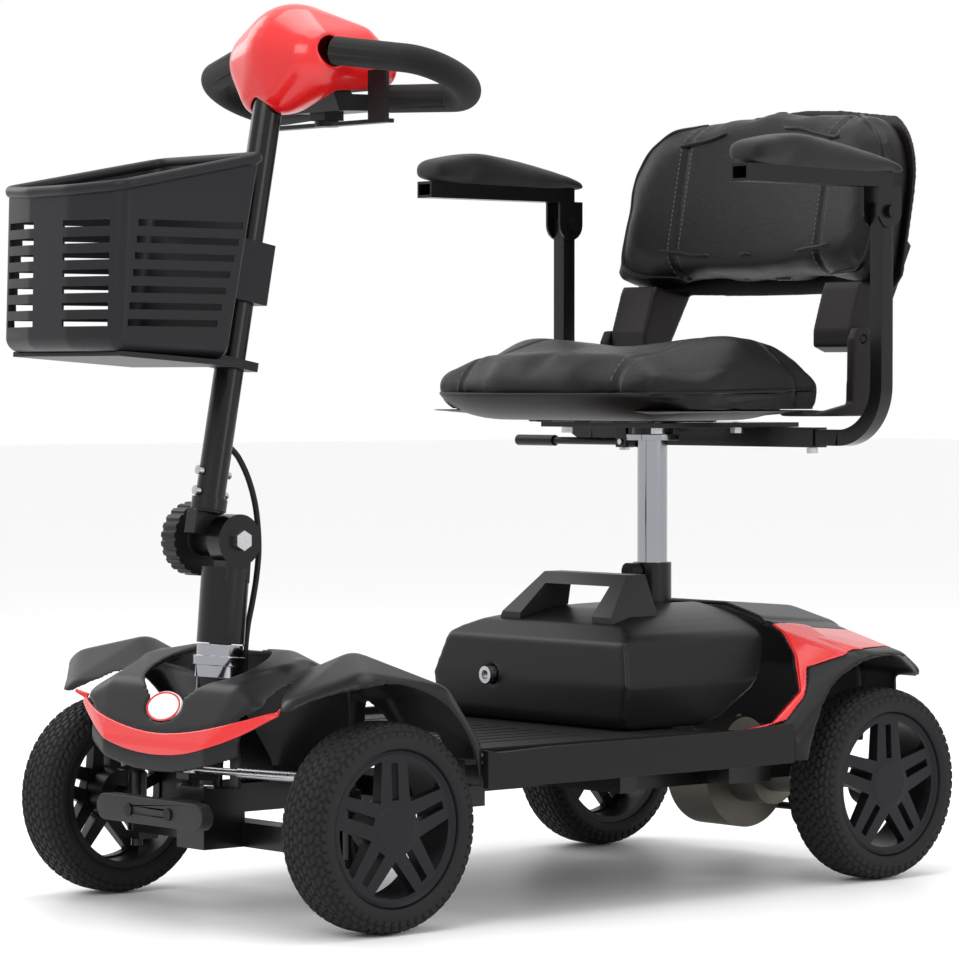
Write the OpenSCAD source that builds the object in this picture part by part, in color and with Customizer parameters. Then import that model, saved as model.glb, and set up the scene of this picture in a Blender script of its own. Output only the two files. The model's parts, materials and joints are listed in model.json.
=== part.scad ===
// Compact four-wheel mobility scooter, in millimetres.
// +Z is up, the scooter drives towards -Y, the rider's left hand is at +X,
// and the origin is on the ground below the middle of the overall box.

/* [Overall] */
// Distance between the front and rear axles
wheel_base = 666; // [640:2:800]
// Distance between the middles of the left and right tyres
track = 427; // [410:1:520]
// Height of the steel plate's top under the seat
seat_plate_z = 476; // [450:1:540]
// Height of the top of the tiller head
head_top_z = 892; // [870:1:940]

/* [Wheels] */
// Outer diameter of the tyres
wheel_d = 200; // [180:1:205]
// Width of the tyres
tyre_w = 60; // [50:1:62]
// Diameter where the tyre seats on the rim
rim_d = 150; // [140:1:154]
// Number of double spokes
spokes = 5; // [4:1:6]
// Diameter of the axles
axle_d = 16; // [12:1:20]
// Radial clearance of every pin or shaft in its bore
fit = 0.05; // [0.02:0.01:0.1]
// Gap between covers and other parts that only lie near each other
gap = 0.4; // [0.3:0.1:0.8]

/* [Chassis] */
// Width over the side skirts and mudguards
body_w = 492; // [486:1:560]
// Height of the top of the floor
floor_z = 160; // [150:1:166]
// Height of the lower edge of the side skirts
skirt_z = 131; // [125:1:136]
// Wall of the plastic covers
cover_wall = 3; // [2:0.5:4]
// Radius of the front wheel arches
front_arch_r = 114; // [110:1:120]
// Radius of the rear wheel arches
rear_arch_r = 128; // [114:1:132]
// Thickness of the foot mat
mat_t = 4; // [2:0.5:6]
// Width of the front bumper
bumper_w = 172; // [140:2:240]

/* [Battery] */
// Width of the battery pack at its widest
battery_w = 306; // [260:2:320]
// Wall of the battery case
battery_wall = 3.5; // [2:0.5:5]
// Width over the feet of the carrying handle
handle_w = 196; // [150:2:220]

/* [Steering and tiller] */
// Lean of the steering column, in degrees
column_lean = 5; // [2:0.5:8]
// Diameter of the lower column sleeve
column_d = 47; // [42:1:50]
// Length of the steering arms
steer_arm = 25; // [22:1:32]
// Lean of the tiller, in degrees
tiller_lean = 10.6; // [8:0.2:14]
// Diameter of the tiller tube
tiller_d = 29; // [25:1:32]
// Wall of the tiller tube
tiller_wall = 2; // [1.5:0.5:3]
// Diameter of the fold bolt
fold_bolt_d = 12; // [10:1:14]
// Diameter of the clamp knob
knob_d = 73; // [60:1:80]
// Diameter of the padded hand loops
grip_d = 28; // [24:1:32]
// Diameter of the control cable
cable_d = 6; // [5:0.5:8]

/* [Basket] */
// Width of the basket across its front corners
basket_w = 194; // [160:2:240]
// Wall of the basket
basket_wall = 2.5; // [2:0.5:4]
// Height of one slot
slot_h = 6.5; // [4:0.5:8]
// Distance from one row of slots to the next
slot_pitch = 15.5; // [12:0.5:18]

/* [Seat] */
// Width of the seat cushion
seat_w = 410; // [360:2:416]
// Length of the seat cushion
seat_l = 280; // [240:2:290]
// Diameter of the seat post
post_d = 32; // [28:1:36]
// Outer diameter of the socket that holds the seat post
socket_d = 41; // [39:1:46]
// Width over the backrest
back_w = 412; // [360:2:416]
// Thickness of the backrest cushion
back_t = 45; // [35:1:50]
// Lean of the backrest, in degrees
back_lean = 11; // [6:1:14]

/* [Armrests] */
// Distance between the middles of the two armrests
arm_span = 492; // [486:1:540]
// Width of the square armrest tube
arm_tube_w = 17; // [15:1:19]
// Wall of the armrest tube and its receiver
arm_wall = 1.8; // [1.5:0.1:2.5]
// Length of an armrest pad
pad_l = 222; // [180:2:230]
// Width of an armrest pad
pad_w = 56; // [44:1:56]
// Height of the armrest pivots above the seat plate
pivot_rise = 219; // [200:1:240]

/* [Hidden] */
$fn = 64;
$round = 22;
far = 900;

// The box runs from the basket's front to the backrest's rear
front_reach = 231;
rear_reach = 121;
front_y = -wheel_base / 2 + (front_reach - rear_reach) / 2;
rear_y = front_y + wheel_base;
wheel_r = wheel_d / 2;
wheel_x = track / 2;
rim_r = rim_d / 2;
axle_r = axle_d / 2;
body_x = body_w / 2;

// Steering column: its axis passes through this point
column_z = 264;
column_y = front_y - 25;
column_r = column_d / 2;
spindle_r = 11;
head_tube_r = 21;
head_tube_low = -104;
arm_z = 140;
arm_drop = (column_z - arm_z) / cos(column_lean);
kingpin_x = wheel_x - 40;
kingpin_r = 6;
rod_r = 5;
rod_pin_r = 3;
fold_rise = 101;
fold_y = column_y + fold_rise * sin(column_lean);
fold_z = column_z + fold_rise * cos(column_lean);
fold_r = fold_bolt_d / 2;
ear_r = 25.5;
ear_t = 20;
barrel_r = 17;
barrel_l = 36;

// Tiller tube: its axis starts at this point
tiller_y = front_y - 40;
tiller_z = 392;
tiller_r = tiller_d / 2;
head_drop = head_top_z - 892;
tiller_l = (848 + head_drop - tiller_z) / cos(tiller_lean);
head_y = front_y + 66;
head_z = 838 + head_drop;

// Hand loops lie in a plane that slopes down towards the rider
loop_y = head_y - 17;
loop_z = head_z + 9;
loop_slope = 24.5;
loop_r = 42;
loop_u = 137;
loop_v = 80;
grip_r = grip_d / 2;

// Console face
face_tilt = 53;
face_y = head_y + 92;
face_z = head_z + 3;

// Seat
post_r = post_d / 2;
socket_r = socket_d / 2;
post_y = rear_y - 115;
plate_z = seat_plate_z;
plate_t = 5;
flange_z = plate_z - 13;
post_low = 180;
socket_top = 327;
arm_y = rear_y - 21;
arm_z_low = plate_z - plate_t - arm_tube_w / 2 - arm_wall - 0.2;
arm_bend = 55;
arm_x = arm_span / 2;
pivot_z = plate_z + pivot_rise;
pivot_r = 4;
seat_front = rear_y - 308;
cushion_low = plate_z + 14;
back_y = rear_y + 3;
back_z = plate_z + 88;
back_pin_r = 5;
ear_x = 186;

// Battery bay
bay_front = front_y + 373;
handle_y = bay_front + 40;
case_low = floor_z + mat_t + 0.5;

// ---------- shared shapes ----------

// Stands a shape on the steering axis
module on_column(rise = 0)
  translate([0, column_y, column_z]) rotate([-column_lean, 0, 0]) translate([0, 0, rise]) children();

// Stands a shape on the tiller axis
module on_tiller(rise = 0)
  translate([0, tiller_y, tiller_z]) rotate([-tiller_lean, 0, 0]) translate([0, 0, rise]) children();

// A round bar along X that starts at x
module bar_x(x, length, radius, y, z)
  translate([x, y, z]) rotate([0, 90, 0]) cylinder(h = length, r = radius);

// A round bar along Y that starts at y
module bar_y(y, length, radius, x, z)
  translate([x, y, z]) rotate([-90, 0, 0]) cylinder(h = length, r = radius);

// A side outline in Y and Z pushed along X from x
module side_profile(x, width, points)
  translate([x, 0, 0]) rotate([90, 0, 90]) linear_extrude(height = width) polygon(points);

// A front outline in X and Z pushed along +Y from y
module front_profile(y, depth, points)
  translate([0, y + depth, 0]) rotate([90, 0, 0]) linear_extrude(height = depth) polygon(points);

// Points on an arc
function arc(cx, cy, radius, from, to, steps) =
  [for (i = [0 : steps]) let (a = from + (to - from) * i / steps) [cx + radius * cos(a), cy + radius * sin(a)]];

// A ball of a hull, made smaller by the wall
module ball(x, y, z, radius, wall = 0) translate([x, y, z]) sphere(r = radius - wall, $fn = $round);

module ball_pair(x, y, z, radius, wall = 0)
  for (side = [-1, 1]) ball(side * x, y, z, radius, wall);

module both_sides() {
  children();
  mirror([1, 0, 0]) children();
}

// ---------- wheels ----------

module tyre(side, y) {
  half = tyre_w / 2;
  color("#2b2b2d") translate([side * wheel_x, y, wheel_r]) rotate([0, 90, 0]) rotate_extrude($fn = 96)
    polygon([[rim_r, 3 - half], [rim_r + 4, -half], [wheel_r - 16, -half], [wheel_r - 5, 4 - half],
      [wheel_r - 1, 10 - half], [wheel_r, 18 - half], [wheel_r, half - 18], [wheel_r - 1, half - 10],
      [wheel_r - 5, half - 4], [wheel_r - 16, half], [rim_r + 4, half], [rim_r, half - 3]]);
}

// One opening between two double spokes
module rim_window(depth) {
  spoke_half = 15;
  outer = rim_r - 9;
  step = 360 / spokes;
  edge = asin(spoke_half / outer);
  inner = spoke_half / sin(step / 2) + 5;
  linear_extrude(height = depth)
    polygon(concat([inner * [cos(step / 2), sin(step / 2)]], arc(0, 0, outer, edge, step - edge, 8)));
}

// Rim about the X axis, its dished face towards +X
module rim_body(bore_r, bore_depth) {
  half = tyre_w / 2 - 4;
  difference() {
    rotate([0, 90, 0]) rotate([0, 0, 17]) rotate_extrude($fn = 96)
      polygon([[0, -12], [24, -12], [26, half - 14], [rim_r - 7, half - 14], [rim_r - 7, -half], [rim_r - 0.1, -half],
        [rim_r - 0.1, half - 1], [rim_r - 2, half], [rim_r - 5, half - 3], [24, half - 1], [22, half], [0, half]]);
    for (i = [0 : spokes - 1]) rotate([i * 360 / spokes, 0, 0]) {
      translate([half - 20, 0, 0]) rotate([0, 90, 0]) rotate([0, 0, 180]) rim_window(40);
      translate([half - 20, -4, 27]) cube([40, 8, rim_r - 40]);
    }
    if (bore_depth > 0) bar_x(-13, bore_depth + 13, bore_r, 0, 0);
  }
}

module front_rim(side) {
  color("#6d6e73") translate([side * wheel_x, front_y, wheel_r])
    mirror([side < 0 ? 1 : 0, 0, 0]) rim_body(axle_r + fit, 14);
}

// The rear rim is fixed on its half shaft
module rear_rim(side) {
  color("#6d6e73") translate([side * wheel_x, rear_y, wheel_r]) mirror([side < 0 ? 1 : 0, 0, 0]) {
    rim_body(0, 0);
    bar_x(70 - wheel_x, wheel_x - 80, axle_r, 0, 0);
  }
}

// ---------- frames ----------

module front_frame() {
  spine_l = wheel_base - 190;
  beam_x = kingpin_x - 12;
  color("#1c1c1e") {
    difference() {
      union() {
        translate([-22, front_y - 62, 100]) cube([44, spine_l, 28]);
        translate([-beam_x, front_y - 14, 66]) cube([2 * beam_x, 28, 24]);
        translate([-22, front_y - 62, 66]) cube([44, 50, 34]);
        on_column(head_tube_low) cylinder(h = -head_tube_low - 34, r = head_tube_r);
        side_profile(-8, 16, [[front_y - 18, 120], [front_y + 40, 120], [front_y + 30, 150], [front_y + 2, 192],
          [front_y - 12, 200], [front_y - 18, 162]]);
        for (side = [-1, 1]) translate([side * (kingpin_x - 8) - 12, front_y - 12, 58]) cube([24, 24, 8]);
        for (side = [-1, 1]) translate([side * (beam_x - 7) - 6, front_y - 12, 66]) cube([12, 24, 30]);
        for (y = [front_y + 130, front_y + 330]) {
          translate([-190, y, 108]) cube([380, 22, 20]);
          for (side = [-1, 1]) translate([side * 150 - 10, y, 128]) cube([20, 22, floor_z - 5.2 - 128]);
        }
      }
      on_column(head_tube_low - 40) cylinder(h = 140, r = spindle_r + fit);
      on_column(-arm_drop - 16) cylinder(h = 30, r = 30);
      translate([-60, front_y - 140, arm_z - 10]) cube([120, 96, 24]);
      for (side = [-1, 1]) translate([side * kingpin_x, front_y, 50]) cylinder(h = 20, r = kingpin_r + fit);
    }
  }
}

module rear_frame() {
  rail_y = front_y + 420;
  rail_l = rear_y + 20 - rail_y;
  color("#1c1c1e") difference() {
    union() {
      for (side = [-1, 1]) translate([side * 100 - 12, rail_y, 100]) cube([24, rail_l, 28]);
      for (y = [rail_y, post_y - 22, rear_y + 10]) translate([-112, y, 100]) cube([224, 24, 28]);
      translate([0, post_y, 100]) cylinder(h = socket_top - 100, r = socket_r);
      for (side = [-1, 1]) {
        side_profile(side * 60 - 17, 5, [[rear_y + 30, 128], [rear_y + 30, 100], [rear_y + 36, 100], [rear_y + 38, 84],
          [rear_y + 56, 46], [rear_y + 77, 46], [rear_y + 77, 66], [rear_y + 52, 128]]);
        translate([side * 100 - 12, rail_y, 128]) cube([24, 24, floor_z - 5.2 - 128]);
        translate([side * 174 - 16, post_y - 70, 108]) cube([32, 60, 16]);
        translate([side * 143 - 43, post_y - 52, 110]) cube([86, 18, 12]);
      }
    }
    translate([0, post_y, post_low - 1]) cylinder(h = far, r = post_r + fit);
    bar_y(post_y - 40, 40, 4 + fit, 0, 318);
    bar_x(-80, 160, 4 + fit, rear_y + 67, 56);
    bar_x(-180, 360, 20 + gap, rear_y, wheel_r);
  }
}

module drive_unit() {
  color("#8b877c") difference() {
    union() {
      bar_x(-70, 140, 34, rear_y, wheel_r);
      bar_x(-34, 62, 62, rear_y, wheel_r);
      bar_x(-150, 80, 20, rear_y, wheel_r);
      bar_x(70, 80, 20, rear_y, wheel_r);
      bar_x(34, 53, 30, rear_y - 62, wheel_r + 34);
      translate([28, rear_y - 72, wheel_r + 10]) cube([8, 60, 46]);
    }
    bar_x(-180, 360, axle_r + fit, rear_y, wheel_r);
    translate([-60, rear_y - 10, 128 + 0.3]) cube([90, 50, 60]);
    for (y = [post_y - 22, rear_y + 10]) translate([-112.4, y - 0.4, 99.6]) cube([224.8, 24.8, 28.8]);
  }
}

module anti_tip_wheels() {
  y = rear_y + 67;
  color("#2a2a2c") for (side = [-1, 1]) difference() {
    bar_x(side * 60 - 11, 22, 22, y, 56);
    bar_x(side * 60 - 12, 24, 4 + fit, y, 56);
  }
  color("#b9babd") bar_x(-72, 144, 4, y, 56);
}

// ---------- covers ----------

// Outside of one front mudguard, made smaller by the wall
module front_guard(side, wall) {
  y = front_y;
  hull() {
    ball(side * 176, y - 62, 203, 24, wall);
    ball(side * (body_x - 27), y - 24, 224, 25, wall);
    ball(side * 168, y + 6, 236, 26, wall);
    ball(side * (body_x - 26), y + 58, 210, 24, wall);
    ball(side * 140, y + 66, 206, 20, wall);
    ball(side * (body_x - 22), y + 92, 168, 20, wall);
    ball(side * 150, y + 92, 160, 18, wall);
    ball(side * (body_x - 22), y + 92, 100, 20, wall);
    ball(side * 150, y - 60, 120, 20, wall);
    ball(side * (body_x - 30), y - 50, 130, 24, wall);
    ball(side * 110, y - 20, 214, 22, wall);
  }
}

// Outside of the nose and front mudguards, made smaller by the wall
module front_shape(wall = 0) {
  y = front_y;
  hull() {
    ball_pair(78, y - 84, 168, 24, wall);
    ball_pair(120, y - 72, 203, 20, wall);
    ball_pair(158, y - 60, 190, 20, wall);
    ball_pair(96, y - 68, 212, 22, wall);
    ball_pair(110, y - 10, 230, 24, wall);
    ball_pair(80, y - 84, 110, 22, wall);
  }
  hull() {
    ball_pair(110, y - 20, 228, 24, wall);
    ball_pair(70, y + 2, 236, 24, wall);
    ball_pair(60, y - 66, 212, 22, wall);
    ball_pair(120, y + 26, 214, 22, wall);
    ball_pair(120, y + 30, 120, 20, wall);
  }
  for (side = [-1, 1]) front_guard(side, wall);
}

// Lower front edge of the nose: lowest in the middle, rising to both sides
function nose_edge() = concat([for (x = [-190 : 20 : 190]) [x, 143 + 56 * pow(x / 190, 2)]],
  [[far, 190], [far, 0], [-far, 0], [-far, 190]]);

// Wheel space that the mudguards leave open for steering
module front_arches()
  both_sides() bar_x(118, far, front_arch_r, front_y - 10, wheel_r + 22);

// Red band region across the nose
module stripe_region(grow) {
  top = [for (i = [-10 : 10]) let (x = i * 16.6) [x, 181 + 32 * pow(abs(x) / 166, 1.8) + grow]];
  low = [for (i = [10 : -1 : -10]) let (x = i * 16.6) [x, 160 + 50 * pow(abs(x) / 166, 2.2) - grow]];
  front_profile(front_y - 200, 170, concat(top, low));
}

module front_shroud() {
  color("#3a3a3d") difference() {
    front_shape();
    front_shape(cover_wall + 2.4);
    front_profile(front_y - 300, 280, nose_edge());
    front_arches();
    translate([-far, front_y - 120, -1]) cube([2 * far, 400, skirt_z + 1]);
    translate([-body_x + 9, front_y + 45, 0]) cube([body_w - 18, 200, floor_z - 4]);
    translate([0, front_y - 40, 150]) linear_extrude(height = 200)
      polygon([for (a = [0 : 12 : 348]) [74 * cos(a), 53 * sin(a)]]);
    both_sides() translate([112, front_y - 60, 0]) cube([kingpin_x - 104, 200, floor_z + 20]);
    translate([-113, front_y - 77, 0]) cube([226, 119, floor_z + 25]);
    difference() {
      stripe_region(0.3);
      front_shape(2.7);
    }
    badge_plate(0.3, -0.3);
  }
}

module nose_stripe() color("#c8202a") difference() {
  intersection() {
    front_shape();
    stripe_region(0);
  }
  front_shape(2.4);
}

// Oval plate, grown by g and sunk by s
module badge_plate(g, s)
  translate([0, front_y - 84, 203]) rotate([70, 0, 0]) translate([0, 0, s])
    linear_extrude(height = 40) polygon([for (a = [0 : 15 : 345]) [(27 + g) * cos(a), (15 + g) * sin(a)]]);

module nose_badge() color("#f4f4f4") intersection() {
  badge_plate(0, 0);
  difference() {
    front_shape();
    front_shape(3);
  }
}

module floor_pan() {
  front = front_y + 100;
  rear = rear_y - 155;
  color("#39393c") {
    translate([-body_x + 8, front + 26, floor_z - 5]) cube([body_w - 16, rear - front - 26, 5]);
    translate([-108, front - 50.2, floor_z - 5]) cube([216, 80, 5]);
    for (side = [-1, 1]) side_profile(side * (body_x - 4) - 4, 8, [[front + 8, skirt_z], [rear + 8, skirt_z],
      [rear + 8, floor_z + 12], [rear - 60, floor_z + 8], [front + 90, floor_z + 7], [front + 24, floor_z + 5],
      [front + 8, floor_z + 8]]);
  }
}

module foot_mat() {
  front = front_y + 128;
  color("#262628") difference() {
    translate([-190, front, floor_z]) cube([380, bay_front - front + 60, mat_t]);
    for (i = [0 : 11]) translate([-150 + i * 26, front + 12, floor_z + mat_t - 1.5]) cube([8, 190, 4]);
  }
}

module front_bumper() color("#4a4a4e") difference() {
  y = front_y - 104;
  union() {
    front_profile(y - 8, 14, concat(arc(bumper_w / 2 - 13, 105, 13, 90, -90, 8), arc(13 - bumper_w / 2, 105, 13, 270, 90, 8)));
    translate([-20, y + 5.9, 94]) cube([40, 36, 20]);
  }
  for (x = [-32, 32]) bar_y(y - 10, 30, 3 + fit, x, 105);
}

module bumper_screws() color("#2a2a2a") for (x = [-32, 32]) {
  bar_y(front_y - 104 - 10, 2, 6, x, 105);
  bar_y(front_y - 104 - 8, 14, 3, x, 105);
}

module headset_cups() color("#d8d9dc") difference() {
  union() {
    on_column(-33.6) cylinder(h = 12, r = 23);
    on_column(-21.6) cylinder(h = 9, r = 26);
    on_column(-12.6) cylinder(h = 11.6, r = 23);
  }
  on_column(-60) cylinder(h = 100, r = spindle_r + fit);
}

// Outside of one rear mudguard with its wing in front of the wheel, made smaller by the wall
module rear_guard(side, wall) {
  y = rear_y;
  hull() {
    ball(side * 106, y - 86, 251, 23, wall);
    ball(side * 97, y + 33, 241, 25, wall);
    ball(side * (body_x - 22), y - 22, 221, 20, wall);
    ball(side * (body_x - 22), y + 20, 219, 20, wall);
    ball(side * (body_x - 46), y + 58, 205, 22, wall);
    ball(side * 124, y + 63, 207, 22, wall);
    ball(side * 134, y + 66, 117, 20, wall);
    ball(side * (body_x - 50), y + 60, 120, 20, wall);
    ball(side * (body_x - 24), y - 70, 196, 20, wall);
  }
  hull() {
    ball(side * 126, y - 92, 250, 22, wall);
    ball(side * 150, y - 40, 242, 22, wall);
    ball(side * (body_x - 24), y - 40, 217, 20, wall);
    ball(side * (body_x - 18), y - 135, 150, 18, wall);
    ball(side * (body_x - 18), y - 110, 110, 18, wall);
    ball(side * 130, y - 188, 190, 16, wall);
    ball(side * 190, y - 198, 150, 16, wall);
  }
}

// Outside of the rear cover and rear mudguards, made smaller by the wall
module rear_shape(wall = 0) {
  y = rear_y;
  hull() {
    ball_pair(66, y - 90, 260, 28, wall);
    ball_pair(60, y + 26, 251, 28, wall);
    ball_pair(114, y - 91, 253, 24, wall);
    ball_pair(100, y + 40, 240, 26, wall);
    ball_pair(110, y + 66, 205, 22, wall);
    ball_pair(120, y + 68, 120, 20, wall);
  }
  for (side = [-1, 1]) rear_guard(side, wall);
}

// Seam between the battery pack and the rear cover, seen from the side
function seam(shift) = [[rear_y - 232 + shift, case_low - 3], [rear_y - 195 + shift, 162], [rear_y - 155 + shift, 171],
  [rear_y - 113 + shift, 201], [rear_y - 90 + shift, 236], [rear_y - 78 + shift, 270], [rear_y - 76 + shift, 290]];

// Crescent of the red side panel, seen from the side
module crescent(grow) {
  y = rear_y;
  side_profile(145, 140, [[y - 233 - grow, floor_z + 1 - grow], [y - 194, 171 + grow], [y - 152, 196 + grow], [y - 129 - grow, 226],
    [y - 122 - grow, 262], [y - 116 - grow, 300 + grow], [y + 84, 300 + grow], [y + 84 + grow, 226 - grow],
    [y + 20, 242 - grow], [y - 34, 241 - grow], [y - 90 + grow, 224], [y - 112 + grow, 196],
    [y - 140, 174 - grow], [y - 180, 162 - grow]]);
}

module rear_shroud() {
  color("#38383b") difference() {
    rear_shape();
    rear_shape(cover_wall + 2.4);
    both_sides() bar_x(172, far, rear_arch_r, rear_y, wheel_r + 6);
    both_sides() bar_x(118, 56, rear_arch_r - 14, rear_y, wheel_r + 6);
    translate([-far, rear_y - 300, 0]) cube([2 * far, 250, 131.4]);
    translate([-far, rear_y - 60, 0]) cube([2 * far, 300, 132]);
    translate([-118.6, rear_y - 78, 0]) cube([237.2, 146, 226]);
    both_sides() translate([140.4, rear_y - 145.6, 163.4]) cube([31, 81.2, 46.4]);
    translate([-128.7, rear_y - 99.6, 220.4]) cube([257.4, 19.8, 10.8]);
    translate([-141, rear_y - 150, 0]) cube([282, 91, 221]);
    translate([-224, rear_y - 149, 0]) cube([448, 92, 164]);
    side_profile(-far, 2 * far, concat(seam(0.8), [[rear_y - 74, 330], [rear_y - 400, 330], [rear_y - 400, case_low - 3]]));
    translate([-body_x - 1, rear_y - 300, 0]) cube([body_w + 2, 155, floor_z + 18]);
    translate([0, post_y, 200]) cylinder(h = 200, r = socket_r + 1.5);
    both_sides() difference() {
      crescent(0.3);
      rear_shape(2.7);
    }
  }
}

module side_panel(side) color("#c8202a") mirror([side < 0 ? 1 : 0, 0, 0]) difference() {
  intersection() {
    difference() {
      rear_shape();
      rear_shape(2.4);
    }
    crescent(0);
  }
  side_profile(-far, 2 * far, concat(seam(0.8), [[rear_y - 74, 330], [rear_y - 400, 330], [rear_y - 400, case_low - 3]]));
  bar_x(172, far, rear_arch_r, rear_y, wheel_r + 6);
}

// ---------- battery pack ----------

// Outside of the battery case, made smaller by the wall
module case_shape(wall = 0) {
  w = battery_w / 2 - wall;
  y = bay_front + wall;
  z = case_low + wall;
  intersection() {
    front_profile(bay_front - 10, 320, concat([[w - 10, z], [w, 210], [w - 14, 254 - wall]],
      [for (i = [8 : -1 : -8]) [i * (w - 22) / 8, 286 - wall - 26 * pow(abs(i) / 8, 2.2)]], [[14 - w, 254 - wall], [-w, 210], [10 - w, z]]));
    side_profile(-200, 400, concat([[y + 8, z], [y + 1, 175], [y, 210], [y + 9, 252 - wall], [y + 34, 268 - wall], [y + 90, 281 - wall],
      [rear_y - 93, 289 - wall]], [for (i = [6 : -1 : 1]) seam(-wall)[i] - [0, i == 6 ? 1 + wall : 0]], [[rear_y - 232, z]]));
  }
}

module battery_case() color("#303032") difference() {
  case_shape();
  case_shape(battery_wall);
  translate([-socket_r - 3, post_y, 0]) cube([2 * socket_r + 6, 200, far]);
  translate([0, post_y, 0]) cylinder(h = far, r = socket_r + 3);
  translate([-12, post_y - 41, 0]) cube([24, 60, far]);
  bar_y(bay_front - 20, 40, 9 + fit, -58, 212);
}

module battery_cells() color("#3a4a5a") for (side = [-1, 1])
  translate([side * 62 - 56, bay_front + 16, case_low + battery_wall]) cube([112, 56, 78]);

module battery_handle() {
  z = 264;
  half = handle_w / 2;
  color("#3c3c40") difference() {
    intersection() {
      front_profile(bay_front - 10, 200, [[-half, z - 14], [34 - half, 320], [half - 34, 320], [half, z - 14],
        [half - 38, z - 14], [half - 48, 306], [48 - half, 306], [38 - half, z - 14]]);
      side_profile(-200, 400, [[handle_y, 276], [handle_y + 42, 318], [handle_y + 67, 318], [handle_y + 66, 255],
        [handle_y, 255]]);
    }
    case_shape();
  }
}

module charge_socket() color("#c9cacd") difference() {
  bar_y(bay_front - 8, 20, 9, -58, 212);
  bar_y(bay_front - 9, 6, 5, -58, 212);
}

// ---------- steering ----------

module steering_stem() {
  color("#2a2a2d") difference() {
    union() {
      cylinder_low = -arm_drop - 14;
      on_column(0) cylinder(h = 74, r = column_r);
      on_column(cylinder_low) cylinder(h = -cylinder_low + 1, r = spindle_r);
      bar_x(gap / 2, ear_t, ear_r, fold_y, fold_z);
      on_column(60) translate([gap / 2, -15, 0]) cube([ear_t, 30, 30]);
      on_column(-arm_drop - 9) translate([-10, -steer_arm - 10, 0]) cube([20, steer_arm + 12, 6]);
      on_column(-arm_drop - 9) translate([0, -steer_arm, 0]) cylinder(h = 26, r = rod_pin_r);
    }
    bar_x(-40, 80, fold_r + fit, fold_y, fold_z);
  }
}

// The pitman pin's place in the row frame
pin_y = column_y - arm_drop * sin(column_lean) - steer_arm * cos(column_lean);
pin_z = column_z - arm_drop * cos(column_lean) + steer_arm * sin(column_lean);

module tie_rod(side) {
  lift = side > 0 ? 1 : 9;
  knuckle_y = front_y - steer_arm;
  reach = [side * kingpin_x, knuckle_y - pin_y];
  length = norm(reach);
  turn = atan2(reach[1], reach[0]);
  color("#c8c9cc") difference() {
    union() {
      translate([0, pin_y, pin_z + lift - 3.5]) rotate([-column_lean, 0, 0]) cylinder(h = 7, r = 8);
      translate([side * kingpin_x, knuckle_y, pin_z + lift - 4]) cylinder(h = 8, r = 7.5);
      translate([0, pin_y, pin_z + lift]) rotate([0, 0, turn]) bar_x(6, length - 12, 3.6, 0, 0);
      translate([0, pin_y, pin_z + lift]) rotate([0, 0, turn]) bar_x(length * 0.35, length * 0.5, rod_r, 0, 0);
    }
    translate([0, pin_y, pin_z]) rotate([-column_lean, 0, 0]) translate([0, 0, -30]) cylinder(h = 60, r = rod_pin_r + fit);
    translate([side * kingpin_x, knuckle_y, 100]) cylinder(h = 80, r = rod_pin_r + 1.2);
  }
}

module knuckle(side) {
  lift = side > 0 ? 1 : 9;
  arm_low = pin_z + lift - 12;
  color("#3c3c3f") {
    translate([side * kingpin_x, front_y, 66.4]) cylinder(h = wheel_r - 42, r = 10);
    translate([side * kingpin_x, front_y, 50]) cylinder(h = 20, r = kingpin_r);
    if (side > 0) bar_x(kingpin_x, 49, axle_r, front_y, wheel_r);
    if (side < 0) bar_x(-kingpin_x - 49, 49, axle_r, front_y, wheel_r);
    translate([side * kingpin_x - 6, front_y - steer_arm - 5, arm_low]) cube([12, steer_arm + 5, 6]);
    translate([side * kingpin_x - 6, front_y - 8, 110]) cube([12, 14, arm_low - 109]);
    translate([side * kingpin_x, front_y - steer_arm, arm_low]) cylinder(h = 20, r = rod_pin_r);
  }
}

// ---------- tiller ----------

module tiller_tube() {
  color("#2c2c2f") difference() {
    union() {
      on_tiller(0) cylinder(h = tiller_l, r = tiller_r);
      on_tiller(2) cylinder(h = 12, r = tiller_r + 3);
      bar_x(-barrel_l - gap / 2, barrel_l, barrel_r, fold_y, fold_z);
      on_tiller(-22) translate([-tiller_r - 2, -13, 0]) cube([tiller_r + 2 - gap / 2, 26, 24.4]);
    }
    on_tiller(4) cylinder(h = far, r = tiller_r - tiller_wall);
    bar_x(-far, 2 * far, fold_r + fit, fold_y, fold_z);
    for (rise = [19, 39]) on_tiller(rise) rotate([90, 0, 0]) translate([0, 0, -30]) cylinder(h = 60, r = 2.6);
    on_tiller(64) translate([0, tiller_r, 0]) rotate([90, 0, 0]) translate([0, 0, -6]) cylinder(h = 16, r = cable_d / 2 + 3.5);
  }
}

module tiller_bolts() {
  color("#c9cacd") {
    bar_x(-66, 66 + ear_t + gap, fold_r, fold_y, fold_z);
    translate([ear_t + gap, fold_y, fold_z]) rotate([0, 90, 0]) cylinder(h = 7, r = 10, $fn = 6);
  }
  color("#2b2b2d") for (rise = [19, 39]) on_tiller(rise) rotate([90, 0, 0]) {
    translate([0, 0, -tiller_r - 6]) cylinder(h = 2 * tiller_r + 12, r = 2.5);
    translate([0, 0, tiller_r + 0.5]) cylinder(h = 5, r = 4.5);
    translate([0, 0, -tiller_r - 4.5]) cylinder(h = 4, r = 4, $fn = 6);
  }
}

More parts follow.
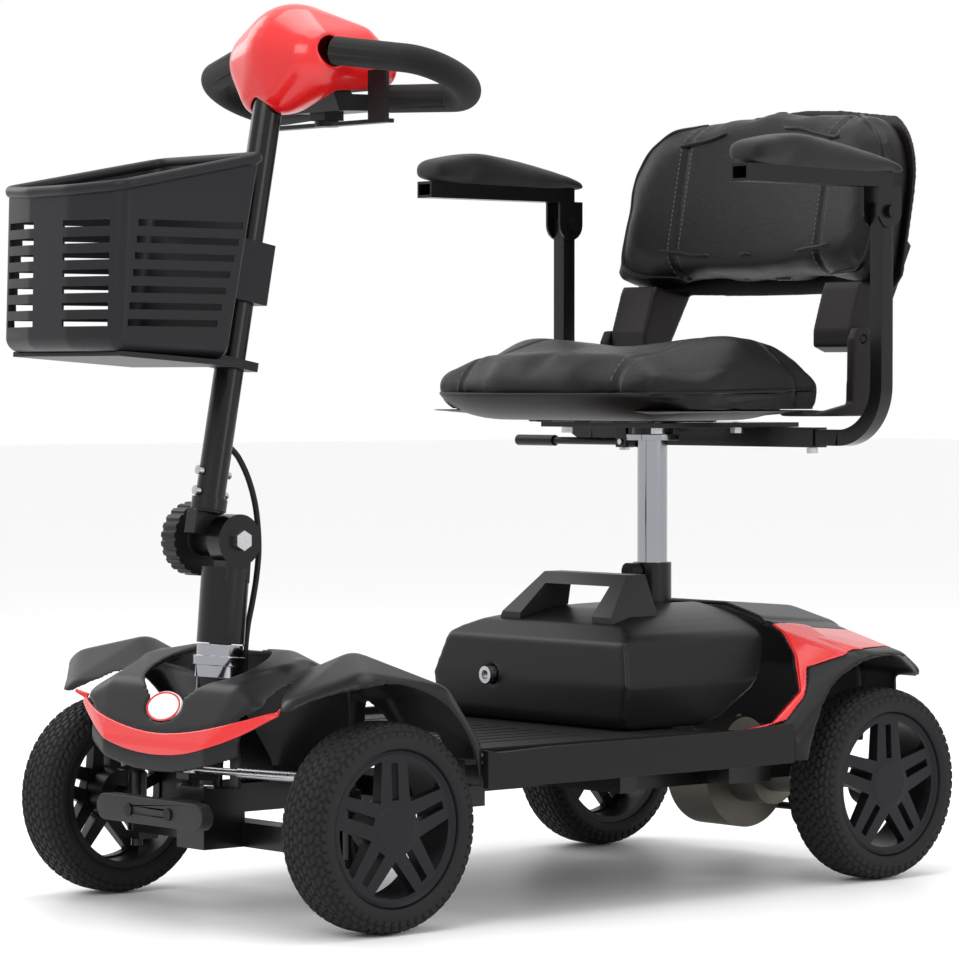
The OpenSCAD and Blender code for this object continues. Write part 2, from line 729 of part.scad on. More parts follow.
module tiller_knob() {
  x = -barrel_l - gap - 24;
  color("#232325") difference() {
    union() {
      bar_x(x, 22, knob_d / 2, fold_y, fold_z);
      bar_x(x + 22, 2, 20, fold_y, fold_z);
    }
    bar_x(x - 10, 60, fold_r + fit, fold_y, fold_z);
    for (i = [0 : 23]) translate([0, fold_y, fold_z]) rotate([i * 15, 0, 0]) bar_x(x - 1, 24, 2.6, knob_d / 2 + 0.8, 0);
  }
}

// Outside of the basket before its rim is cut
module basket_shape(wall = 0) {
  $round = 24;
  y = front_y;
  top_x = basket_w / 2 - 14;
  low_x = basket_w / 2 - 17;
  hull() {
    ball_pair(low_x, y - 204, 561, 14, wall);
    ball_pair(30, y - 215, 562, 14, wall);
    ball_pair(low_x - 12, y - 84, 554, 14, wall);
    ball_pair(top_x, y - 196, 705 + 60, 14, wall);
    ball_pair(30, y - 211, 705 + 60, 14, wall);
    ball_pair(top_x - 10, y - 38, 739 + 60, 14, wall);
  }
}

module basket() {
  y = front_y;
  color("#4b4b50") difference() {
    basket_shape();
    basket_shape(basket_wall);
    side_profile(-far, 2 * far, [[y - 400, 668], [y - 211, 704], [y - 30, 738], [y + 100, 762], [y + 100, 900], [y - 400, 900]]);
    for (i = [0 : 6]) {
      z = 574 + i * slot_pitch - slot_h / 2;
      translate([-far, y - 203 + 2 * i, z]) cube([2 * far, 112 + 3 * i, slot_h]);
      for (side = [-1, 1]) translate([side * 53 - 29, y - 260, z]) cube([58, 100, slot_h]);
    }
  }
}

module basket_bracket() {
  color("#2a2a2c") difference() {
    union() {
      on_tiller(208) translate([-20, -tiller_r - 56, 0]) cube([40, 2 * tiller_r + 61, 60]);
      translate([0, front_y - 66, 533]) rotate([-4, 0, 0]) translate([-88, -142, 0]) cube([176, 142, 5]);
      on_tiller(142) translate([-22, -tiller_r - 44, 0]) cube([44, tiller_r * 2 + 48, 9]);
    }
    on_tiller(100) cylinder(h = 300, r = tiller_r + fit);
    basket_shape(-0.3);
  }
}

// ---------- head ----------

module head_shape(wall = 0) {
  $round = 28;
  y = head_y;
  z = head_z;
  hull() {
    ball(0, y + 2, z, 54, wall);
    ball_pair(34, y - 6, z - 4, 38, wall);
    ball_pair(16, y - 26, z - 36, 22, wall);
    ball_pair(30, y + 80, z - 8, 22, wall);
    ball_pair(34, y + 52, z + 12, 22, wall);
  }
}

// Everything behind and above the console face, sunk by s
module face_cut(s)
  translate([0, face_y, face_z]) rotate([-face_tilt, 0, 0]) translate([-150, -150, -s]) cube([300, 300, 200]);

// Underside of the red shell
module head_under(drop)
  side_profile(-200, 400, [[head_y - 100, head_z - 62 - drop], [head_y - 12, head_z - 62 - drop], [head_y + 14, head_z - 34 - drop],
    [head_y + 140, head_z - 26 - drop], [head_y + 140, head_z - 200], [head_y - 100, head_z - 200]]);

// The path of one hand loop's centre line, as a solid of the given radius
module loop_solid(radius, start) {
  slope_a = 18.3;
  slope_b = 5;
  translate([0, loop_y, loop_z]) rotate([-loop_slope, 0, 0]) translate([loop_u, loop_v, 0]) {
    rotate([0, 0, slope_a - 90]) rotate_extrude(angle = 180 - slope_a + slope_b, $fn = 96) translate([loop_r, 0]) circle(r = radius, $fn = 48);
    rotate([0, 0, slope_a]) translate([0, -loop_r, 0]) rotate([0, -90, 0]) cylinder(h = 74 - start, r = radius);
    rotate([0, 0, slope_b]) translate([0, loop_r, 0]) rotate([0, -90, 0]) cylinder(h = 88, r = radius);
  }
}

module loop_sockets() both_sides() loop_solid(grip_r + gap, -20);

module head_shell() color("#cf2029") difference() {
  head_shape();
  head_shape(cover_wall);
  face_cut(0);
  head_under(0);
  loop_sockets();
  on_tiller(250) cylinder(h = 240, r = tiller_r + 1);
}

module head_console() {
  color("#232326") difference() {
    union() {
      intersection() {
        head_shape(cover_wall + 0.3);
        difference() {
          face_cut(6);
          face_cut(1);
        }
      }
      intersection() {
        head_shape(cover_wall + 0.3);
        difference() {
          head_under(-6);
          head_under(-1);
        }
        translate([-60, head_y + 4, 0]) cube([120, 200, 2000]);
      }
      side_profile(-38, 76, [[head_y + 18, head_z - 29], [head_y + 28, head_z - 52], [head_y + 88, head_z - 50],
        [head_y + 96, head_z - 42], [head_y + 96, head_z - 34], [head_y + 44, head_z - 35], [head_y + 40, head_z - 29]]);
      translate([-12, head_y + 30, head_z - 60]) cube([24, 24, 12]);
    }
    loop_sockets();
    on_tiller(250) cylinder(h = 240, r = tiller_r + fit);
    on_face(0) translate([0, 0, -20]) cylinder(h = 40, r = 4 + fit);
    on_face(28) translate([0, 0, -20]) cylinder(h = 40, r = 6 + fit);
    on_face(-28) translate([0, 0, -20]) cylinder(h = 40, r = 5 + fit);
    translate([0, head_y + 42, head_z - 90]) cylinder(h = 50, r = 3 + fit);
  }
}

// Places a control on the console face
module on_face(x)
  translate([x, face_y, face_z]) rotate([-face_tilt, 0, 0]) translate([0, 0, -1]) children();

module speed_dial() color("#e8e8ea") on_face(0) {
  translate([0, 0, 1 + gap]) cylinder(h = 8, r = 13);
  translate([0, 0, -10]) cylinder(h = 12, r = 4);
  translate([-1.5, 3, 9.4]) cube([3, 9, 2]);
}

module key() color("#9a9b9e") on_face(-28) {
  translate([0, 0, -8]) cylinder(h = 11, r = 5);
  translate([-1.2, -9, 3]) cube([2.4, 18, 20]);
}

module horn_button() color("#d8b020") on_face(28) {
  translate([0, 0, -8]) cylinder(h = 11.5, r = 6);
}

module throttle_lever() {
  y = head_y + 42;
  z = head_z - 66;
  color("#1e1e20") {
    translate([0, y, z]) cylinder(h = 5.7, r = 12);
    translate([0, y, z]) cylinder(h = 24, r = 3);
    translate([-98, y - 6, z]) cube([196, 12, 4]);
    for (side = [-1, 1]) translate([side * 86 - 14, y - 6, z]) cube([28, 4, 52]);
  }
}

module handle_loops() color("#29292b") both_sides() loop_solid(grip_r, -8);

// Points of the cable's middle, from the tube's rear into the nose
cable_route = [[0, -26, 466], [0, -20, 460], [0, -12, 454], [0, -2, 444], [0, 9, 425], [0, 17, 402], [0, 21, 378],
  [0, 22, 352], [0, 19, 326], [0, 14, 302], [0, 9, 282], [0, 6, 262], [0, 5, 244], [0, 4, 224], [0, 6, 205]];

// A ring of points square to the route's direction in the Y-Z plane
function ring(p, d, radius, sides) = [for (k = [0 : sides - 1]) let (a = 360 * k / sides)
  p + radius * (cos(a) * [1, 0, 0] + sin(a) * [0, -d[2], d[1]])];

module control_cable() {
  sides = 8;
  p = [for (q = cable_route) q + [0, front_y, 0]];
  n = len(p);
  d = [for (i = [0 : n - 1]) let (v = p[min(i + 1, n - 1)] - p[max(i - 1, 0)]) v / norm(v)];
  points = [for (i = [0 : n - 1]) each ring(p[i], d[i], cable_d / 2, sides)];
  walls = [for (i = [0 : n - 2], k = [0 : sides - 1]) let (j = (k + 1) % sides)
    [i * sides + k, i * sides + j, (i + 1) * sides + j, (i + 1) * sides + k]];
  color("#1d1d1f") polyhedron(points = points,
    faces = concat([[for (k = [sides - 1 : -1 : 0]) k]], walls, [[for (k = [0 : sides - 1]) (n - 1) * sides + k]]));
}

// ---------- seat ----------

module seat_post() color("#d4d5d8") difference() {
  union() {
    translate([0, post_y, post_low]) cylinder(h = flange_z - post_low, r = post_r);
    translate([0, post_y, flange_z - 6]) cylinder(h = 6, r = 28);
  }
  translate([0, post_y, flange_z - 34]) cylinder(h = 60, r = 10 + fit);
  translate([-4.4, post_y - 20, 258]) cube([8.8, 16, 66]);
}

module seat_pin() color("#202022") {
  bar_y(post_y - 14, 8, 4, 0, 318);
  bar_y(post_y - socket_r - 14, socket_r, 4, 0, 318);
  bar_y(post_y - socket_r - 16, 14, 9, 0, 318);
}

module seat_frame() {
  y = post_y + 22;
  color("#1b1b1d") difference() {
    union() {
      translate([-100, y - 92, plate_z - plate_t]) cube([200, 190, plate_t]);
      translate([0, post_y, flange_z + 0.3]) cylinder(h = plate_z - plate_t - flange_z, r = 22);
      translate([0, post_y, flange_z - 30]) cylinder(h = 34, r = 10);
      translate([-157, arm_y - arm_tube_w / 2 - arm_wall - 0.2, arm_z_low - arm_tube_w / 2 - arm_wall - 0.2])
        cube([314, arm_tube_w + 2 * arm_wall + 0.4, arm_tube_w + 2 * arm_wall + 0.4]);
      for (side = [-1, 1]) translate([-46, post_y + side * 9 - 2, plate_z - 27]) cube([16, 4, 24]);
    }
    translate([-158, arm_y - arm_tube_w / 2 - 0.2, arm_z_low - arm_tube_w / 2 - 0.2])
      cube([316, arm_tube_w + 0.4, arm_tube_w + 0.4]);
    for (x = [-70, 70], dy = [-58, 57]) translate([x, post_y + dy, plate_z - 20]) cylinder(h = 30, r = 4 + fit);
    for (x = [-146, 146]) translate([x, arm_y, plate_z - 60]) cylinder(h = 40, r = 4 + fit);
    bar_y(post_y - 20, 40, 3 + fit, -38, plate_z - 21);
  }
}

module seat_fasteners() color("#c4c5c8") {
  for (x = [-70, 70], dy = [-58, 57]) {
    translate([x, post_y + dy, plate_z - plate_t - 6.3]) cylinder(h = 6, r = 7, $fn = 6);
    translate([x, post_y + dy, plate_z - plate_t - 6.3]) cylinder(h = 12, r = 4);
  }
  for (x = [-146, 146]) {
    translate([x, arm_y, arm_z_low - arm_tube_w / 2 - arm_wall - 6.5]) cylinder(h = 6, r = 6);
    translate([x, arm_y, arm_z_low - arm_tube_w / 2 - arm_wall - 6.5]) cylinder(h = 6.4 + arm_wall - 0.2, r = 4);
  }
  bar_y(post_y - 13, 26, 3, -38, plate_z - 21);
}

module seat_lever() {
  z = plate_z - 21;
  color("#2b2b2d") difference() {
    union() {
      bar_y(post_y - 6.6, 13.2, 6.5, -38, z);
      bar_x(-212, 172, 4, post_y, z);
      bar_x(-216, 60, 6, post_y, z);
    }
    bar_y(post_y - 20, 40, 3 + fit, -38, z);
  }
}

module shell_dish(wall) {
  w = seat_w / 2;
  hull() {
    translate([-w + 90, seat_front + 70, plate_z + 7 + wall]) cube([2 * w - 180, seat_l - 110, 1]);
    translate([-w + 22 + wall, seat_front + 40 + wall, plate_z + 12.6 + (wall > 0 ? 8 : 0)])
      cube([2 * w - 44 - 2 * wall, seat_l - 62 - 2 * wall, 1]);
  }
}

module seat_shell() {
  rear = seat_front + seat_l - 20;
  color("#26262a") difference() {
    union() {
      difference() {
        shell_dish(0);
        shell_dish(4);
      }
      for (x = [-60, 0, 60]) translate([x - 2, seat_front + 80, plate_z + 0.3]) cube([4, seat_l - 130, 7.4]);
      for (y = [seat_front + 100, seat_front + 190]) translate([-95, y, plate_z + 0.3]) cube([190, 4, 7.4]);
      both_sides() {
        side_profile(ear_x, 12, [[rear - 30, plate_z + 7], [back_y - 16, plate_z + 20], [back_y - 14, back_z],
          [back_y - 8, back_z + 12], [back_y + 8, back_z + 12], [back_y + 14, back_z], [back_y + 14, plate_z + 24],
          [back_y, plate_z + 7]]);
        translate([ear_x - 30, rear - 30, plate_z + 7]) cube([34, 30, 6]);
      }
    }
    bar_x(-far, 2 * far, back_pin_r + fit, back_y, back_z);
  }
}

module seat_cushion() {
  w = seat_w / 2;
  z = cushion_low;
  rear = seat_front + seat_l;
  color("#3b3a40") difference() {
    hull() {
      ball_pair(w - 46, seat_front + 46, z + 24, 24);
      ball_pair(w - 22, seat_front + 90, z + 22, 22);
      ball_pair(w - 22, rear - 24, z + 22, 22);
      ball_pair(w - 40, seat_front + 150, z + 48, 20);
      ball_pair(w - 50, rear - 26, z + 38, 20);
      ball_pair(60, seat_front + 22, z + 24, 22);
    }
    both_sides() translate([ear_x - gap * 2, rear - 52, 0]) cube([40, 80, far]);
  }
}

// Backrest outline seen from the front, half width at height z above its lower edge
function back_outline() = let (w = back_w / 2) concat(
  [[-w + 12, 0], [w - 12, 0], [w, 12], [w, 66]], arc(w - 98, 104, 98, 0, 62, 8), [[60, 204], [0, 208], [-60, 204]],
  arc(98 - w, 104, 98, 118, 180, 8), [[-w, 66], [-w, 12]]);

function back_curve(shift) = [for (i = [-10 : 10]) let (x = i * back_w / 20) [x, shift - x * x / 1500]];

module back_slab(front, rear)
  translate([0, back_y + 20, back_z + 60]) rotate([-back_lean, 0, 0]) intersection() {
    linear_extrude(height = 230) polygon(concat(back_curve(front), [for (i = [20 : -1 : 0]) back_curve(rear)[i]]));
    translate([0, 200, 0]) rotate([90, 0, 0]) linear_extrude(height = 400) polygon(back_outline());
  }

module backrest_cushion() color("#3b3a40") back_slab(8, 8 + back_t);

module backrest_shell() {
  color("#26262a") {
    back_slab(8.4 + back_t, 13 + back_t);
    both_sides() {
      difference() {
        translate([130, 0, 0]) side_profile(0, ear_x - 130.5, [[back_y + 30, back_z + 100], [back_y + 6, back_z + 54],
          [back_y - 8, back_z + 10], [back_y - 8, back_z - 8], [back_y + 8, back_z - 14], [back_y + 30, back_z - 8],
          [back_y + 60, back_z + 46], [back_y + 86, back_z + 100], [back_y + 75, back_z + 110]]);
        translate([0, back_y + 20, back_z + 60]) rotate([-back_lean, 0, 0])
          linear_extrude(height = 230) polygon(concat(back_curve(-60), [for (i = [20 : -1 : 0]) back_curve(8.4 + back_t)[i]]));
        translate([120, back_y + 20, back_z + 59]) rotate([-back_lean, 0, 0]) translate([0, -80, 0]) cube([100, 80 + 8.4 + back_t - 16, 3]);
      }
      bar_x(160, ear_x - 160 + 11, back_pin_r, back_y, back_z);
    }
  }
}

// ---------- armrests ----------

// Square bar path of one armrest tube, of the given width
module arm_path(width, trim = 0) {
  translate([arm_x - arm_bend, arm_y, arm_z_low + arm_bend]) rotate([90, 0, 0]) rotate([0, 0, -90])
    rotate_extrude(angle = 90, $fn = 96) translate([arm_bend - width / 2, -width / 2]) square(width);
  translate([30 - trim, arm_y - width / 2, arm_z_low - width / 2]) cube([arm_x - arm_bend - 30 + trim, width, width]);
  translate([arm_x - width / 2, arm_y - width / 2, arm_z_low + arm_bend])
    cube([width, width, pivot_z + 9 - arm_z_low - arm_bend - trim]);
}

module arm_tube(side) color("#1d1d1f") mirror([side < 0 ? 1 : 0, 0, 0]) difference() {
  arm_path(arm_tube_w);
  arm_path(arm_tube_w - 2 * arm_wall, 3);
  bar_x(arm_x - 30, 60, pivot_r + fit, arm_y, pivot_z);
}

module arm_bracket(side) {
  half = arm_tube_w / 2;
  front = arm_y - 205;
  mirror([side < 0 ? 1 : 0, 0, 0]) {
    color("#222224") difference() {
      union() {
        for (x = [arm_x - half - 3.5, arm_x + half + 0.5]) side_profile(x, 3, concat(
          arc(arm_y, pivot_z, 17, -180, 0, 10), [[arm_y + 17, pivot_z + 26], [arm_y - 17, pivot_z + 26]]));
        translate([arm_x - half - 3.5, front, pivot_z + 25]) cube([2 * half + 7, 210, 18]);
      }
      translate([arm_x - half - 1, front - 1, pivot_z + 28]) cube([2 * half + 2, 40, 12]);
      bar_x(arm_x - 40, 80, pivot_r + fit, arm_y, pivot_z);
    }
    color("#c4c5c8") {
      bar_x(arm_x - half - 8, 2 * half + 16, pivot_r, arm_y, pivot_z);
      bar_x(arm_x + half + 3.8, 5, 7, arm_y, pivot_z);
      translate([arm_x - half - 8.8, arm_y, pivot_z]) rotate([0, 90, 0]) cylinder(h = 5, r = 7.5, $fn = 6);
    }
  }
}

module arm_pad(side) {
  low = pivot_z + 43.3;
  half = pad_w / 2;
  front = arm_y - 205;
  rear = front + pad_l;
  color("#2d2d30") mirror([side < 0 ? 1 : 0, 0, 0]) difference() {
    hull() for (x = [arm_x - half + 11, arm_x + half - 11]) {
      translate([x, front + 11, low + 4]) cylinder(h = 16, r = 11);
      translate([x, front + 13, low - 4]) cylinder(h = 29, r = 7);
      translate([x, front + 60, low + 9]) cylinder(h = 21, r = 11);
      translate([x, front + 62, low + 9]) cylinder(h = 24, r = 7);
      translate([x, rear - 11, low - 7]) cylinder(h = 10, r = 11);
      translate([x, rear - 13, low - 7]) cylinder(h = 14, r = 8);
    }
    translate([arm_x - 50, front - 10, low - 60]) cube([100, 220.6, 60]);
  }
}

front_frame();
rear_frame();
floor_pan();
foot_mat();
front_shroud();
nose_stripe();
nose_badge();
front_bumper();
bumper_screws();
headset_cups();
rear_shroud();
side_panel(1);  // side_panel_left
side_panel(-1);  // side_panel_right
drive_unit();
anti_tip_wheels();
battery_case();
battery_cells();
battery_handle();
charge_socket();
steering_stem();
knuckle(1);  // knuckle_left
knuckle(-1);  // knuckle_right
tie_rod(1);  // tie_rod_left
tie_rod(-1);  // tie_rod_right
tyre(1, front_y);  // front_tyre_left
tyre(-1, front_y);  // front_tyre_right
tyre(1, rear_y);  // rear_tyre_left
tyre(-1, rear_y);  // rear_tyre_right
front_rim(1);  // front_rim_left
front_rim(-1);  // front_rim_right
rear_rim(1);  // rear_rim_left
rear_rim(-1);  // rear_rim_right
tiller_tube();
tiller_bolts();
tiller_knob();
basket();
basket_bracket();
head_shell();
head_console();
handle_loops();
throttle_lever();
speed_dial();
key();
horn_button();
control_cable();
seat_post();
seat_pin();
seat_frame();
seat_fasteners();
seat_lever();
seat_shell();
seat_cushion();
backrest_shell();
backrest_cushion();
arm_tube(1);  // arm_tube_left
arm_tube(-1);  // arm_tube_right
arm_bracket(1);  // arm_bracket_left
arm_bracket(-1);  // arm_bracket_right
arm_pad(1);  // arm_pad_left
arm_pad(-1);  // arm_pad_right
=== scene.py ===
import json
import math

import bmesh
import bpy
import numpy as np
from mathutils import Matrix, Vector
from mathutils.bvhtree import BVHTree


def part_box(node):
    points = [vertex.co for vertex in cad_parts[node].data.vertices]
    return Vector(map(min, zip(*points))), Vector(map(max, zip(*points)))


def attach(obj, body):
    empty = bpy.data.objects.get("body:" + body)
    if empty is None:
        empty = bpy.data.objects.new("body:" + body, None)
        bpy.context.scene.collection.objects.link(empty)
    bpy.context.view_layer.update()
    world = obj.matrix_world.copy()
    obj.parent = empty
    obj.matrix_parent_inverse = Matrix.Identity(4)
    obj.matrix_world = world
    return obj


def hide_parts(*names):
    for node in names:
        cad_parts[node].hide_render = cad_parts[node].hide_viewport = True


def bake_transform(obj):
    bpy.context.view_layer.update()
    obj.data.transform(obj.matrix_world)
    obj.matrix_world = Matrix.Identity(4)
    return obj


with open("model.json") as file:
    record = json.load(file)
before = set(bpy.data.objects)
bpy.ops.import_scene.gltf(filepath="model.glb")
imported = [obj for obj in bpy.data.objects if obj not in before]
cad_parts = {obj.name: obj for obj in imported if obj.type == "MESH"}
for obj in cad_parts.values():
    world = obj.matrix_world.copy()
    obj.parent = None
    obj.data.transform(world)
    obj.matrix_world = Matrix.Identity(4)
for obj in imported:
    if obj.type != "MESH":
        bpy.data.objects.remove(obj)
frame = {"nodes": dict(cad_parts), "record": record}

bl_info = {
    "name": "Mobility Scooter Finisher",
    "version": (1, 0, 0),
    "blender": (4, 5, 0),
    "location": "3D View > Sidebar > Scooter",
    "description": "Gives the scooter's rigid parts their finishes and makes its tyres, cushions, piping, cable and stage",
    "category": "Object",
}

NODES = frame["nodes"]
HOME = {n: b for b, ns in frame["record"]["behaviour"]["bodies"].items() for n in ns}
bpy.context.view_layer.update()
TAU = 2 * math.pi


def shade(red, green, blue):
    """A screen colour, 0 to 255, as the linear colour that a shader takes."""
    part = np.array([red, green, blue]) / 255.0
    return tuple(float(v) for v in np.where(part <= 0.04045, part / 12.92, ((part + 0.055) / 1.055) ** 2.4)) + (1.0,)


def colour_prop(name, words, *screen):
    """A colour setting with its default given as a screen colour."""
    return bpy.props.FloatVectorProperty(
        name=name, description=words, subtype="COLOR", size=4, min=0.0, max=1.0, default=shade(*screen))


def length_prop(name, words, default):
    """A length setting in metres."""
    return bpy.props.FloatProperty(name=name, description=words, unit="LENGTH", min=0.0, default=default, precision=4)


class ScooterColours(bpy.types.PropertyGroup):
    """Colours of the scooter's finishes."""

    red: colour_prop("Gloss red", "Head, nose stripe and side panels", 206, 14, 18)
    cover: colour_prop("Cover plastic", "Front cover, rear cover and battery case", 22, 21, 23)
    skirt: colour_prop("Skirt plastic", "Floor pan and its skirts", 14, 14, 16)
    steel: colour_prop("Black paint", "Frame, tubes and seat bracket", 9, 9, 10)
    rim: colour_prop("Rim plastic", "Wheel rims", 19, 18, 22)
    tyre: colour_prop("Tyre rubber", "Tyres", 24, 24, 26)
    basket: colour_prop("Basket plastic", "Basket and its bracket", 26, 26, 29)
    hide: colour_prop("Seat cover", "Seat and backrest cushions", 10, 9, 11)
    foam: colour_prop("Foam", "Arm pads and hand loops", 12, 12, 13)
    mat: colour_prop("Mat rubber", "Foot mat", 17, 17, 17)
    thread: colour_prop("Thread", "Stitches of the seat and backrest", 70, 69, 72)
    badge: colour_prop("Badge", "Nose badge", 240, 240, 240)
    cast: colour_prop("Cast housing", "Drive unit", 112, 108, 100)
    floor: colour_prop("Floor", "Floor", 246, 246, 247)


class ScooterSizes(bpy.types.PropertyGroup):
    """Sizes of the pieces that are made here."""

    tread_depth: length_prop("Tread depth", "Height of the tyre's blocks", 0.0026)
    tread_rows: bpy.props.IntProperty(name="Tread rows", description="Rows of blocks over the crown and shoulders", default=11, min=3)
    tread_blocks: bpy.props.IntProperty(name="Tread blocks", description="Blocks in one row round the tyre", default=58, min=12)
    piping: length_prop("Piping radius", "Half thickness of the sewn piping", 0.0023)
    seam_depth: length_prop("Seam depth", "Depth of a sewn seam in a cushion", 0.0022)
    rim_lip: length_prop("Basket lip radius", "Half thickness of the basket's rolled lip", 0.0042)
    cable: length_prop("Cable radius", "Half thickness of the control cable", 0.003)
    edge: length_prop("Edge round", "Round on the edges of the hard pieces", 0.0008)


# ---------------------------------------------------------------- mesh helpers

def grid_faces(rows, columns, wrap_rows, wrap_columns):
    """Quads of a grid of points: each joins a point with its next row and next column, round the end where it wraps."""
    r = np.arange(rows if wrap_rows else rows - 1)
    c = np.arange(columns if wrap_columns else columns - 1)
    r, c = np.meshgrid(r, c, indexing="ij")
    r2, c2 = (r + 1) % rows, (c + 1) % columns
    return np.stack([r * columns + c, r2 * columns + c, r2 * columns + c2, r * columns + c2], -1).reshape(-1, 4)


def new_piece(name, mesh):
    """An object at the origin that holds the mesh."""
    piece = bpy.data.objects.new(name, mesh)
    bpy.context.scene.collection.objects.link(piece)
    return piece


def grid_piece(name, points, wrap_rows=False, wrap_columns=False, caps=False):
    """A smooth surface through a grid of points, with a pole closing each end row where caps is set."""
    rows, columns = points.shape[:2]
    co = points.reshape(-1, 3)
    faces = grid_faces(rows, columns, wrap_rows, wrap_columns).tolist()
    if caps:
        k = np.arange(columns)
        k2 = (k + 1) % columns
        base = rows * columns
        co = np.vstack([co, points[0].mean(0), points[-1].mean(0)])
        faces += np.stack([np.full(columns, base), k, k2], -1).tolist()
        last = (rows - 1) * columns
        faces += np.stack([np.full(columns, base + 1), last + k2, last + k], -1).tolist()
    mesh = bpy.data.meshes.new(name)
    mesh.from_pydata(co.tolist(), [], faces)
    form = bmesh.new()
    form.from_mesh(mesh)
    bmesh.ops.recalc_face_normals(form, faces=form.faces)
    form.to_mesh(mesh)
    form.free()
    smooth(mesh)
    return new_piece(name, mesh)


def smooth(mesh):
    mesh.polygons.foreach_set("use_smooth", np.ones(len(mesh.polygons), bool))
    mesh.update()


def points_of(mesh):
    co = np.empty(len(mesh.vertices) * 3)
    mesh.vertices.foreach_get("co", co)
    return co.reshape(-1, 3)


def normals_of(mesh):
    no = np.empty(len(mesh.vertices) * 3)
    mesh.vertex_normals.foreach_get("vector", no)
    return no.reshape(-1, 3)


def put_points(mesh, co):
    mesh.vertices.foreach_set("co", co.ravel())
    mesh.update()


def curve_points(knots, count, closed=False):
    """A smooth curve through the knots: on each span the cubic whose slope at a knot is half the step between its neighbours."""
    p = np.asarray(knots, float)
    n = len(p)
    spans = n if closed else n - 1
    t = np.linspace(0, spans, count, endpoint=not closed)
    i = np.minimum(t.astype(int), spans - 1)
    f = (t - i)[:, None]
    step = (lambda k: p[k % n]) if closed else (lambda k: p[np.clip(k, 0, n - 1)])
    a, b, c, d = step(i - 1), step(i), step(i + 1), step(i + 2)
    return 0.5 * (2 * b + (c - a) * f + (2 * a - 5 * b + 4 * c - d) * f**2 + (3 * b - a - 3 * c + d) * f**3)


def tube_points(path, radius, sides, up, closed=False, flat=1.0):
    """A ring of points square to the path at each of its points: across times cosine plus height times sine."""
    if closed:
        along = np.roll(path, -1, 0) - np.roll(path, 1, 0)
    else:
        along = np.gradient(path, axis=0)
    along /= np.linalg.norm(along, axis=1)[:, None]
    across = np.cross(along, up)
    across /= np.linalg.norm(across, axis=1)[:, None]
    high = np.cross(across, along)
    a = np.arange(sides) * TAU / sides
    r = np.broadcast_to(radius, len(path))[:, None, None]
    return path[:, None] + r * (across[:, None] * np.cos(a)[None, :, None] + flat * high[:, None] * np.sin(a)[None, :, None])


def merged_copy(node):
    """The CAD node's mesh with its loose triangles joined at their corners."""
    mesh = NODES[node].data.copy()
    form = bmesh.new()
    form.from_mesh(mesh)
    bmesh.ops.remove_doubles(form, verts=form.verts, dist=1e-5)
    form.to_mesh(mesh)
    form.free()
    return mesh


def keep_modifiers(piece):
    """Puts the shape that the modifiers give into the piece's own mesh and takes the modifiers off."""
    bpy.context.view_layer.update()
    made = bpy.data.meshes.new_from_object(piece.evaluated_get(bpy.context.evaluated_depsgraph_get()))
    piece.modifiers.clear()
    piece.data = made


def finish_piece(piece, finish, *nodes, body=None, slot=None):
    """Gives the piece its finish and its body, and hides the CAD nodes that it stands for."""
    piece.data.materials.clear()
    piece.data.materials.append(finish)
    body = body or HOME[nodes[0]]
    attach(piece, body)
    if nodes:
        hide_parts(*nodes)
    return piece


# ---------------------------------------------------------------- finishes

def graph(name):
    """A new material with its node tree emptied, and a maker of linked nodes."""
    material = bpy.data.materials.new(name)
    material.use_nodes = True
    tree = material.node_tree
    tree.nodes.clear()

    def node(kind, settings=(), **inputs):
        made = tree.nodes.new(kind)
        for key, value in dict(settings).items():
            setattr(made, key, value)
        for key, value in inputs.items():
            socket = made.inputs[int(key[1:])] if key[0] == "i" and key[1:].isdigit() else made.inputs[key.replace("_", " ")]
            if isinstance(value, bpy.types.NodeSocket):
                tree.links.new(value, socket)
            else:
                socket.default_value = value
        return made

    return material, node


